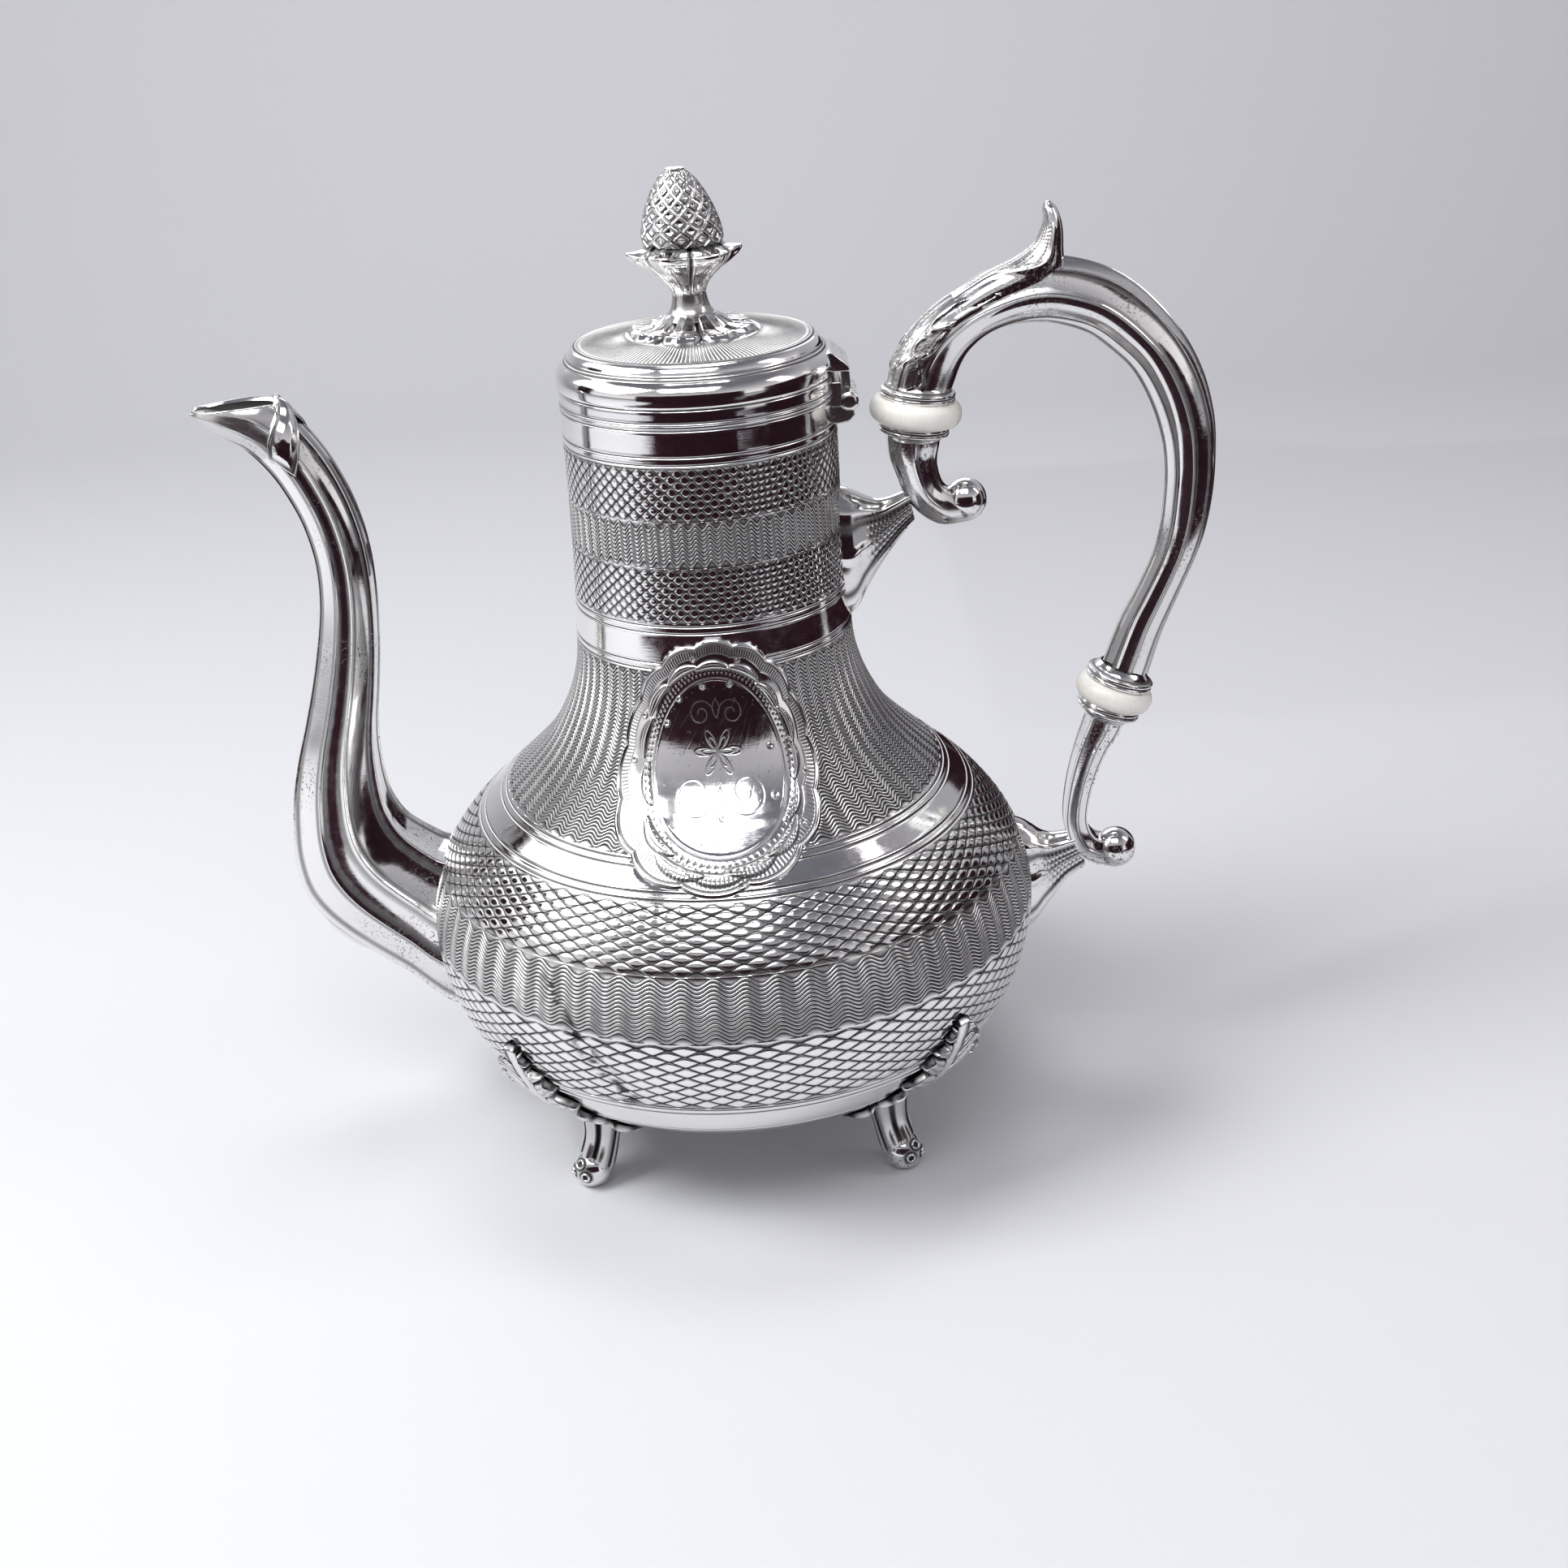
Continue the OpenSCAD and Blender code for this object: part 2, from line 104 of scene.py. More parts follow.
class Build:
    """Collects grids of quads, then makes one Blender piece of them."""

    def __init__(self):
        self.verts, self.faces, self.dirt, self.count = [], [], [], 0

    def grid(self, points, wrap=False, dirt=0.0, flip=None, keep=None, inward=False):
        """points is rows x cols x 3, and keep, if given, says which quads stay.

        Unless flip says otherwise, faces turn away from their rows' middles, or towards them with inward.
        """
        rows, cols = points.shape[:2]
        if flip is None:
            p = points if not wrap else np.concatenate([points, points[:, :1]], 1)
            normal = np.cross(p[:-1, 1:] - p[1:, :-1], p[1:, 1:] - p[:-1, :-1])
            out = (p[:-1, :-1] + p[1:, 1:]) / 2 - points.mean(axis=1)[:-1, None]
            flip = (float((normal * out).sum()) > 0) == inward
        faces = grid_faces(rows, cols, wrap, flip)
        if keep is not None:
            faces = faces[np.asarray(keep).reshape(-1)]
        self.verts.append(points.reshape(-1, 3))
        self.dirt.append(np.broadcast_to(np.asarray(dirt, float), (rows, cols)).reshape(-1))
        self.faces.append(faces + self.count)
        self.count += rows * cols
        return self

    def piece(self, name, body, material, slot, replaces=(), turn=None):
        verts, faces = np.vstack(self.verts), np.vstack(self.faces).astype(np.int32)
        if turn is not None:
            verts = verts @ turn[:3, :3].T + turn[:3, 3]
        me = bpy.data.meshes.new(name)
        me.vertices.add(len(verts))
        me.vertices.foreach_set("co", (verts * MM).astype(np.float32).reshape(-1))
        me.loops.add(faces.size)
        me.loops.foreach_set("vertex_index", faces.reshape(-1))
        me.polygons.add(len(faces))
        me.polygons.foreach_set("loop_start", np.arange(0, faces.size, 4, dtype=np.int32))
        me.polygons.foreach_set("use_smooth", np.ones(len(faces), bool))
        me.update(calc_edges=True)
        me.validate()
        # per-vertex darkening: tarnish in the hollows, and painted shade in a few places
        layer = me.attributes.new("dirt", "FLOAT", "POINT")
        layer.data.foreach_set("value", np.concatenate(self.dirt).astype(np.float32))
        me.materials.append(material)
        ob = bpy.data.objects.new(name, me)
        bpy.context.scene.collection.objects.link(ob)
        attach(ob, body)
        if replaces:
            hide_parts(*replaces)
        return ob


# ---------------------------------------------------------------- materials

def set_inputs(node, values):
    for socket, value in values.items():
        node.inputs[socket].default_value = value


def new_material(name):
    """A material, its Principled shader, and the calls that add nodes and links to it."""
    mat = bpy.data.materials.new(name)
    mat.use_nodes = True
    nt = mat.node_tree
    return mat, nt.nodes["Principled BSDF"], nt.nodes.new, nt.links.new


def flat_material(name, color, rough):
    mat, bsdf, _, _ = new_material(name)
    set_inputs(bsdf, {"Base Color": (*color, 1), "Roughness": rough})
    return mat, bsdf


def color_steps(ramp, low, high):
    """Sets a colour ramp's two stops, each (position, colour)."""
    for stop, (position, color) in zip(ramp.color_ramp.elements, (low, high)):
        stop.position, stop.color = position, (*color, 1)


def metal(name, base=(0.9, 0.895, 0.885), rough=0.13, film=0.14, spots=0.0):
    """Polished silver: dark tarnish in the hollows and painted shade, both where the mesh's darkening attribute is
    high, a thin uneven film and fine scratches.
    """
    mat, bsdf, new, link = new_material(name)
    where, dirt = new("ShaderNodeTexCoord"), new("ShaderNodeAttribute")
    dirt.attribute_name = "dirt"

    def noise(scale, detail, stretch=(1, 1, 1)):
        place, tex = new("ShaderNodeMapping"), new("ShaderNodeTexNoise")
        set_inputs(place, {"Scale": stretch})
        set_inputs(tex, {"Scale": scale, "Detail": detail})
        link(where.outputs["Object"], place.inputs[0])
        link(place.outputs[0], tex.inputs["Vector"])
        return tex.outputs["Fac"]

    def ramp(source, lo, hi, a, b):
        """a where source is lo, b where it is hi."""
        r = new("ShaderNodeMapRange")
        set_inputs(r, {"From Min": lo, "From Max": hi, "To Min": a, "To Max": b})
        link(source, r.inputs["Value"])
        return r.outputs[0]

    def math_node(kind, a, b):
        m = new("ShaderNodeMath")
        m.operation = kind
        m.use_clamp = True
        for socket, value in zip(m.inputs, (a, b)):
            if isinstance(value, float):
                socket.default_value = value
            else:
                link(value, socket)
        return m.outputs[0]

    # darkening from the mesh attribute: tarnish in the hollows, plus painted shade beside ridges, in the spout's bore
    # and along the dent
    darkening = math_node("MULTIPLY", dirt.outputs["Fac"], ramp(noise(90, 5), 0.3, 0.5, 0.88, 1.0))
    if spots:
        speck = ramp(noise(1500, 3), 0.56, 0.64, 0.0, 1.0)
        patch = ramp(noise(55, 2), 0.5, 0.66, 0.0, spots)
        darkening = math_node("MAXIMUM", darkening, math_node("MULTIPLY", speck, patch))
    shade, mix, bump = new("ShaderNodeMixRGB"), new("ShaderNodeMixRGB"), new("ShaderNodeBump")
    set_inputs(shade, {"Color1": (*base, 1), "Color2": (base[0] * 0.72, base[1] * 0.68, base[2] * 0.66, 1)})
    link(ramp(noise(38, 3), 0.35, 0.75, 0.0, film), shade.inputs["Fac"])
    # near-black colour for the tarnish, also used for the painted shade
    set_inputs(mix, {"Color2": (0.010, 0.009, 0.011, 1)})
    link(darkening, mix.inputs["Fac"])
    link(shade.outputs[0], mix.inputs["Color1"])
    link(mix.outputs[0], bsdf.inputs["Base Color"])
    link(math_node("SUBTRACT", 1.0, math_node("MULTIPLY", darkening, 0.2)), bsdf.inputs["Metallic"])
    worn = ramp(noise(420, 4), 0.3, 0.8, rough * 0.5, rough * 1.3)
    link(math_node("ADD", worn, math_node("MULTIPLY", darkening, 0.45)), bsdf.inputs["Roughness"])
    scratch = math_node("ADD", math_node("MULTIPLY", noise(260, 6, (1, 1, 9)), 0.6),
                        math_node("MULTIPLY", noise(240, 6, (7, 7, 1)), 0.4))
    set_inputs(bump, {"Strength": 0.045, "Distance": 0.00025})
    link(scratch, bump.inputs["Height"])
    link(bump.outputs[0], bsdf.inputs["Normal"])
    set_inputs(bsdf, {"IOR": 1.45})
    return mat


def ring_material():
    """Aged ivory: warm white with fine grain and dark hair cracks along the ring's axis."""
    mat, bsdf, new, link = new_material("white_ring")
    where, place, crack, ramp, grain, mix, rough = (new("ShaderNode" + kind) for kind in (
        "TexCoord", "Mapping", "TexVoronoi", "ValToRGB", "TexNoise", "MixRGB", "MapRange"))
    set_inputs(place, {"Scale": (1, 1, 0.12)})
    link(where.outputs["Object"], place.inputs[0])
    crack.feature = "DISTANCE_TO_EDGE"
    set_inputs(crack, {"Scale": 420})
    link(place.outputs[0], crack.inputs["Vector"])
    link(crack.outputs["Distance"], ramp.inputs[0])
    color_steps(ramp, (0.0, (0.79, 0.76, 0.69)), (0.02, (0.88, 0.86, 0.80)))
    set_inputs(grain, {"Scale": 160, "Detail": 4})
    link(place.outputs[0], grain.inputs["Vector"])
    mix.blend_type = "MULTIPLY"
    set_inputs(mix, {"Fac": 0.18})
    link(ramp.outputs[0], mix.inputs["Color1"])
    link(grain.outputs["Fac"], mix.inputs["Color2"])
    link(mix.outputs[0], bsdf.inputs["Base Color"])
    set_inputs(rough, {"To Min": 0.2, "To Max": 0.42})
    link(grain.outputs["Fac"], rough.inputs["Value"])
    link(rough.outputs[0], bsdf.inputs["Roughness"])
    set_inputs(bsdf, {"Subsurface Weight": 0.12, "Subsurface Radius": (0.002, 0.0014, 0.0009)})
    return mat


SHEET = metal("silver_sheet")
CAST = metal("silver_cast", base=(0.88, 0.875, 0.865), film=0.22, spots=0.75)
FITTING = metal("silver_fitting", base=(0.85, 0.845, 0.84), rough=0.2, film=0.3)
IVORY = ring_material()


# ---------------------------------------------------------------- camera, light and floor

def aim_camera():
    """The photograph's viewing angle: a little right of the front, looking down, rolled slightly."""
    place, heading, pitch, roll = Vector((16.4, -470.1, 309.8)) * MM, -0.0029, 0.433, -0.060
    level = math.cos(pitch)
    ahead = Vector((math.sin(heading) * level, math.cos(heading) * level, -math.sin(pitch)))
    right = Vector((math.cos(heading), -math.sin(heading), 0))
    up = right.cross(ahead)
    right, up = math.cos(roll) * right + math.sin(roll) * up, -math.sin(roll) * right + math.cos(roll) * up
    cam = bpy.data.cameras.new("camera")
    cam.lens, cam.sensor_width = 45.57, 36
    cam.clip_start = 0.01
    ob = bpy.data.objects.new("camera", cam)
    turn = Matrix((right, up, -ahead)).transposed().to_4x4()
    ob.matrix_world = Matrix.Translation(place) @ turn
    bpy.context.scene.collection.objects.link(ob)
    bpy.context.scene.camera = ob


def aim(ob, place, look_at):
    turn = (Vector(place) - Vector(look_at)).to_track_quat("Z", "Y").to_matrix().to_4x4()
    ob.matrix_world = Matrix.Translation(Vector(place)) @ turn
    bpy.context.scene.collection.objects.link(ob)


def lamp(name, place, look_at, width, height, power, color=(1, 1, 1)):
    light = bpy.data.lights.new(name, "AREA")
    light.shape, light.size, light.size_y = "RECTANGLE", width, height
    light.energy, light.color = power, color
    aim(bpy.data.objects.new(name, light), place, look_at)


def card(name, place, look_at, width, height, material):
    """A card that only reflections see."""
    me = bpy.data.meshes.new(name)
    w, h = width / 2, height / 2
    me.from_pydata([(-w, -h, 0), (w, -h, 0), (w, h, 0), (-w, h, 0)], [], [(0, 1, 2, 3)])
    me.materials.append(material)
    ob = bpy.data.objects.new(name, me)
    ob.visible_camera = ob.visible_diffuse = ob.visible_shadow = False
    aim(ob, place, look_at)


def light_world():
    """A soft room, bright at the horizon and dim overhead, and the picture's contrast."""
    scene = bpy.context.scene
    scene.view_settings.view_transform = "Standard"
    scene.view_settings.look = "Medium High Contrast"
    world = bpy.data.worlds.new("world")
    scene.world = world
    world.use_nodes = True
    nodes, link = world.node_tree.nodes, world.node_tree.links.new
    sky = nodes["Background"]
    where, split, ramp = (nodes.new("ShaderNode" + kind) for kind in ("TexCoord", "SeparateXYZ", "ValToRGB"))
    link(where.outputs["Generated"], split.inputs[0])
    link(split.outputs["Z"], ramp.inputs[0])
    link(ramp.outputs[0], sky.inputs["Color"])
    color_steps(ramp, (0.0, (1.0, 0.98, 1.0)), (0.85, (0.2, 0.2, 0.23)))
    set_inputs(sky, {"Strength": 0.80})


def lay_floor():
    """A pale sheet under the pot that curves up behind it."""
    reach, bend_y, bend_r = 3.2, 0.75, 0.55
    back = [(y, 0.0) for y in (-reach, bend_y)]
    back += [(bend_y + bend_r * math.sin(a), bend_r - bend_r * math.cos(a))
             for a in np.linspace(0.06, math.pi / 2, 24)]
    back += [(bend_y + bend_r, 1.6)]
    me = bpy.data.meshes.new("floor")
    me.from_pydata([(x, y, z) for y, z in back for x in (-reach, reach)], [],
                   [(2 * i, 2 * i + 1, 2 * i + 3, 2 * i + 2) for i in range(len(back) - 1)])
    me.polygons.foreach_set("use_smooth", [True] * len(me.polygons))
    me.materials.append(flat_material("floor", (0.64, 0.646, 0.664), 0.75)[0])
    floor = bpy.data.objects.new("floor", me)
    bpy.context.scene.collection.objects.link(floor)


def light_studio():
    """Soft lamps, dark cards where the viewer stands and to the right, bright cards up left and behind."""
    lamp("key", (-0.75, -0.25, 0.95), (0, 0, 0.1), 0.5, 0.5, 9)
    lamp("fill", (0.95, -0.1, 0.85), (0, 0, 0.12), 0.25, 0.5, 1.2, color=(1, 0.93, 0.95))
    lamp("window", (-0.08, -0.62, 1.05), (0, 0, 0.1), 0.7, 0.42, 3.4, color=(0.95, 0.97, 1))
    lamp("top", (0.0, 0.25, 1.3), (0, 0, 0.1), 0.5, 0.4, 3)
    dark, bsdf = flat_material("dark_card", (0.030, 0.014, 0.019), 0.9)
    set_inputs(bsdf, {"Specular IOR Level": 0.0})
    card("card_floor", (-0.03, -0.46, 0.004), (-0.03, -0.46, 1), 0.86, 0.42, dark)
    card("card_wall", (-0.1, -0.68, 0.2), (-0.1, 0, 0.2), 1.3, 0.5, dark)
    card("card_right_floor", (0.72, -0.1, 0.003), (0.72, -0.1, 1), 0.72, 1.05, dark)
    card("card_right_wall", (0.98, -0.1, 0.25), (0, -0.1, 0.25), 1.1, 0.5, dark)
    card("card_right_back", (0.42, 0.55, 0.1), (0.1, 0, 0.1), 0.42, 0.3, dark)
    card("card_right_deep", (0.3, 0.42, 0.003), (0.3, 0.42, 1), 0.4, 0.36, dark)
    card("card_left", (-0.62, 0.1, 0.3), (0, 0.05, 0.1), 0.2, 0.3, dark)
    bright, bsdf = flat_material("bright_card", (1, 1, 1), 0.9)
    set_inputs(bsdf, {"Emission Color": (1, 1, 1, 1), "Emission Strength": 1.0})
    card("card_bright_left", (-0.86, 0.05, 0.8), (0, 0, 0.12), 1.1, 0.66, bright)
    card("card_bright_back", (-0.1, 1.0, 0.78), (0, 0, 0.2), 1.0, 0.5, bright)


aim_camera()
light_world()
lay_floor()
light_studio()


# ---------------------------------------------------------------- the vessel's engine turning

LOBES = 64                          # waves round the pot in every band
COLS = LOBES * 10
AZ = circle(COLS)                   # measured from the front, towards the handle
WALL = 1.0
NECK_TOP, FLOOR_Z = 200.5, 24.5
POUR_R, POUR_Z = 9.0, 62.0


def vessel_profile():
    """Outer outline of the CAD vessel from the neck's top edge down, [radius, height]."""
    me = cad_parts["vessel"].data
    n = len(me.vertices)
    co, no = np.empty(n * 3), np.empty(n * 3)
    me.vertices.foreach_get("co", co)
    me.vertices.foreach_get("normal", no)
    co, no = co.reshape(-1, 3) / MM, no.reshape(-1, 3)
    r = np.hypot(co[:, 0], co[:, 1])
    out = (no[:, 0] * co[:, 0] + no[:, 1] * co[:, 1]) / np.maximum(r, 1e-6)
    rings = {}
    for radius, z, side in zip(r, co[:, 2], out):
        if side > 0.05 and (radius > 34 or z > 130):
            key = round(z, 1)
            rings[key] = max(rings.get(key, 0), radius)
    pts = np.array([(rings[z], z) for z in sorted(rings, reverse=True)])
    keep = [0]
    for i in range(1, len(pts)):
        if np.linalg.norm(pts[i] - pts[keep[-1]]) > 1.2:
            keep.append(i)
    return pts[keep]


OUTLINE = spline(vessel_profile(), 8)
OUT_S = arc_length(OUTLINE)
SLOPE = np.gradient(OUTLINE, OUT_S, axis=0)
SLOPE /= np.linalg.norm(SLOPE, axis=1)[:, None]


def s_at(z):
    """Distance down the outline from the neck's top edge to height z."""
    return np.interp(-np.asarray(z, float), -OUTLINE[:, 1], OUT_S)


def on_vessel(s, az, lift):
    """Points on the vessel at outline distance s and azimuth az, raised by lift along the surface normal."""
    r, z, tr, tz = (np.interp(s, OUT_S, values) for values in (*OUTLINE.T, *SLOPE.T))
    rr, zz = r - tz * lift, z + tr * lift
    return np.stack([rr * np.sin(az), -rr * np.cos(az), zz], -1)


def outside_vessel(points, sink):
    """True for points beyond the vessel's outer surface, less sink."""
    r = np.interp(-points[..., 2], -OUTLINE[:, 1], OUTLINE[:, 0], left=33.0, right=46.0)
    return np.hypot(points[..., 0], points[..., 1]) > r - sink


def lathe(profile, az, lift=None):
    """Turned form of a [radius, height] profile, swelled by lift(az, distance along the profile)."""
    p = np.asarray(profile, float)
    tangent = np.gradient(p, axis=0)
    tangent /= np.maximum(np.linalg.norm(tangent, axis=1), 1e-9)[:, None]
    A, S = np.meshgrid(az, arc_length(p))
    h = lift(A, S) if lift else 0.0
    r = p[:, 0, None] - tangent[:, 1, None] * h
    z = p[:, 1, None] + tangent[:, 0, None] * h
    return np.stack([r * np.sin(A), -r * np.cos(A), z + 0 * A], -1)


# The engraved panel: an oval in azimuth and height with a scalloped edge
PANEL_AZ, PANEL_Z = (math.radians(-0.6), math.radians(35.6)), (120.0, 26.3)
PANEL_LEAN = math.radians(0.055)    # turn of the upright for each mm of height
SCALLOPS = 14


def panel_place(az, z):
    """Polar place of a point in the panel: share of the way from its middle to its edge, and angle."""
    lean = PANEL_LEAN * (z - PANEL_Z[0])
    u, v = (signed(az) - PANEL_AZ[0] - lean) / PANEL_AZ[1], (z - PANEL_Z[0]) / PANEL_Z[1]
    angle = np.arctan2(v, u)
    return np.hypot(u, v) / panel_edge(angle), angle


def panel_edge(angle):
    return 0.972 + 0.042 * np.abs(np.sin(SCALLOPS / 2 * (angle - math.pi / 2) + math.pi / 2)) ** 0.8


class Turning:
    """Rows round the vessel, from its top down, each with a place, a lift and dirt for every column."""

    def __init__(self):
        self.s, self.h, self.d, self.cuts = [], [], [], [0]

    def row(self, s, h=0.0, d=0.0):
        for store, value in ((self.s, s), (self.h, h), (self.d, d)):
            store.append(np.broadcast_to(np.asarray(value, float), (COLS,)))

    def plain(self, z0, z1, rows):
        for s in np.linspace(s_at(z0), s_at(z1), rows):
            self.row(s)

    def groove(self, z, width=0.32, depth=0.22):
        """A straight turned line with slightly raised lips."""
        for x in (-2.0, -1.25, -0.8, -0.35, 0, 0.35, 0.8, 1.25, 2.0):
            cut = bell(x, 0.6)
            self.row(s_at(z) + x * width, 0.05 * bell(abs(x) - 1.25, 0.4) - depth * cut, cut)

    def bead(self, z, width=0.55, height=0.22):
        for x in np.linspace(-1, 1, 9):
            self.row(s_at(z) + x * width, height * math.cos(x * math.pi / 2) ** 0.7, 0.8 * abs(x) ** 6)

    def band(self, z0, z1, pitch, swing, depth, bulge, inside, cells=False, sharp=0.0, stain=0.27):
        """Wavy cuts, pitch apart and swinging by swing.

        In a band of cells every other cut is half a wave on.
        """
        def wave(turn):
            at = LOBES * AZ + turn
            return (np.cos(at) + sharp * np.cos(3 * at)) / (1 + sharp)

        first, last = s_at(z0) + swing, s_at(z1) - swing
        count = max(2, round((last - first) / pitch) + 1)
        lines = [s + swing * wave(math.pi * (k % 2 if cells else 0))
                 for k, s in enumerate(np.linspace(first, last, count))]
        widest = pitch + (2 * swing if cells else 0)
        self.row(s_at(z0))
        for k in range(count - 1):
            gap = np.maximum(lines[k + 1] - lines[k], 0.05)
            for j in range(inside):
                t = j / inside
                arch = 1 - (2 * t - 1) ** 4 if cells else math.sin(math.pi * t)
                near = np.minimum(t, 1 - t) * gap
                height = (depth + bulge) * arch * np.minimum(1.4 * gap / widest, 1) - depth
                self.row(lines[k] + gap * t, height,
                         np.minimum(1.3 * bell(near, stain), 1))
            if len(self.s) - self.cuts[-1] > 128:
                self.cuts.append(len(self.s))
        self.row(lines[-1], -depth, 1.0)
        self.row(s_at(z1))


BELLY_Z = 75                        # below this the relief stays within the outline, to keep the pot's width


def wear_dent(h, d, z):
    """A worn dent, low on the front, running down from left to right, with ragged painted shade along it for its dark
    reflections.
    """
    top, low, deepest, width, belly_r = 74, 45, -0.62, 2.3, 76
    az = signed(AZ)
    run = np.clip((top - z) / 28, 0, 1)
    across = (az - math.radians(-34) - run * math.radians(14)) * belly_r
    off = np.hypot(across, np.clip(z - top, 0, 99) + np.clip(low - z, 0, 99))
    # painted shade: ragged dark marks along the dent stand in for its dark reflections
    ragged_shade = smoothstep(-0.35, 0.55, np.sin(1.9 * z + 3 * np.sin(0.7 * z)) * np.cos(90 * az + 0.5 * z))
    return (np.maximum(h - 0.5 * bell(off, width), deepest),
            np.maximum(d, 0.95 * ragged_shade * bell(off - 0.5, width)))


def beside_hole(points, radius):
    """False for the quads that touch the spout's pour hole."""
    hole = (np.hypot(points[..., 1], points[..., 2] - POUR_Z) < radius) & (points[..., 0] < 0)
    shut = ~(hole[:-1] | hole[1:])
    return shut & np.roll(shut, -1, axis=1)


def turn_vessel():
    """The vessel's outside, band by band from the neck's rim down."""
    t = Turning()
    t.row(s_at(200.5), -0.5)
    t.row(s_at(200.45), -0.08)
    t.plain(200.2, 198.4, 4)
    t.groove(197.6, 0.26)
    t.bead(196.75, 0.5, 0.22)
    t.groove(195.9, 0.26)
    t.plain(195.0, 190.8, 6)
    t.groove(189.8)
    t.groove(187.95)
    t.band(187.4, 174.7, 1.41, 0.60, 0.19, 0.07, 8, cells=True, stain=0.29)
    t.band(174.6, 163.6, 0.92, 0.78, 0.3, 0.03, 5, stain=0.262)
    t.band(163.5, 150.3, 1.36, 0.58, 0.19, 0.07, 8, cells=True, stain=0.29)
    t.groove(149.5)
    t.groove(147.8)
    t.plain(147.0, 141.2, 6)
    t.groove(140.4)
    t.groove(138.8)
    t.band(138.3, 100.2, 0.97, 0.72, 0.3, 0.03, 5, stain=0.262)
    t.groove(99.6)
    t.groove(98.4)
    t.plain(97.8, 95.2, 6)
    t.groove(94.4)
    t.groove(93.1)
    t.band(92.6, 79.2, 1.47, 0.62, 0.2, 0.08, 7, cells=True, stain=0.28)
    t.band(79.1, 63.5, 0.97, 0.88, 0.3, 0.03, 5, stain=0.262)
    t.band(63.3, 43.2, 1.60, 0.79, 0.22, 0.05, 8, cells=True, sharp=0.1, stain=0.3)
    t.groove(42.5, 0.4, 0.3)
    t.groove(40.9, 0.4, 0.3)
    t.plain(40.0, 34.6, 6)
    t.groove(33.6, 0.4, 0.25)
    t.plain(32.6, 25.2, 10)
    t.plain(25.0, 23.7, 5)
    s, h, d = np.array(t.s), np.array(t.h), np.array(t.d)
    s = np.maximum.accumulate(s, axis=0)
    z = np.interp(s, OUT_S, OUTLINE[:, 1])
    share, _ = panel_place(AZ, z)
    inside = 1 - smoothstep(0.975, 1.0, share)
    h = h * (1 - inside) - 0.4 * inside
    h, d = wear_dent(h, d * (1 - inside), z)
    points = on_vessel(s, AZ, np.where(z < BELLY_Z, np.minimum(h, 0.05) - 0.05, h))
    shut = beside_hole(points, POUR_R)
    cuts = t.cuts + [len(s) - 1]
    for i, (a, b) in enumerate(zip(cuts[:-1], cuts[1:])):
        Build().grid(points[a:b + 1], wrap=True, dirt=d[a:b + 1], keep=shut[a:b]).piece(
            f"vessel_turned_{i + 1}", POT, SHEET, "silver_sheet", replaces=["vessel"] if i == 0 else [])


def vessel_inside():
    """Smooth inner wall, the neck's rim and the turned-in floor, with the pour hole open."""
    r, z = OUTLINE[:, 0] + SLOPE[:, 1] * WALL, OUTLINE[:, 1] - SLOPE[:, 0] * WALL
    wall = np.stack([r, np.clip(z, FLOOR_Z, NECK_TOP)], 1)[::3]
    rim = [[33.0, 200.1], [32.7, NECK_TOP], [32.3, NECK_TOP]]
    floor = [[46.0, FLOOR_Z], [40.0, FLOOR_Z], [40.0, FLOOR_Z - WALL], [46.0, FLOOR_Z - WALL]]
    points = lathe(np.vstack([rim, wall, floor]), circle(160))
    b = Build().grid(points, wrap=True, keep=beside_hole(points, POUR_R - 0.6), inward=True, dirt=0.15)
    y, z = POUR_R * np.sin(circle(48)), POUR_Z + POUR_R * np.cos(circle(48))
    collar = [np.stack([-np.sqrt(r * r - y * y), y, z], -1) for r in (80.5, 76.0)]
    b.grid(np.array(collar), wrap=True, inward=True)
    b.piece("vessel_inside", POT, SHEET, "silver_sheet")


DEGREE, MIDDLE_Z = 0.67, 119        # mm round the pot for each degree, and height, at the panel's middle


def near_curves(x, y, curves):
    """Distance from each point to the nearest sampled point of the curves."""
    best = np.full(x.shape, 1e3)
    for px, py in np.vstack(curves):
        np.minimum(best, (x - px) ** 2 + (y - py) ** 2, out=best)
    return np.sqrt(best)


def flourish():
    """Plain symmetrical ornament: a six-petalled flower between four scrolls."""
    t = np.linspace(0, TAU, 600)
    curves = [np.stack([0.7 * np.cos(t[::12]), 1 + 0.7 * np.sin(t[::12])], 1)]
    for size in (5.4, 3.6):
        petal = size * np.abs(np.cos(3 * t)) ** 1.6
        curves.append(np.stack([petal * np.cos(t), 1 + petal * np.sin(t)], 1))
    turn = np.linspace(0, 1, 200)
    for side in (-1, 1):
        for up, size, cy in ((1, 0.72, 9.6), (-1, 1.0, -7.6)):
            a = math.pi * (0.95 - 2.9 * turn)
            r = size * 4.6 * (1 - 0.78 * turn)
            curves.append(np.stack([side * (5.4 * size + r * np.cos(a)), cy + up * r * np.sin(a)], 1))
            stalk = cy + up * (6.0 * size * turn - 1.0)
            curves.append(np.stack([side * 0.9 * np.sin(math.pi * turn), stalk], 1))
    return curves


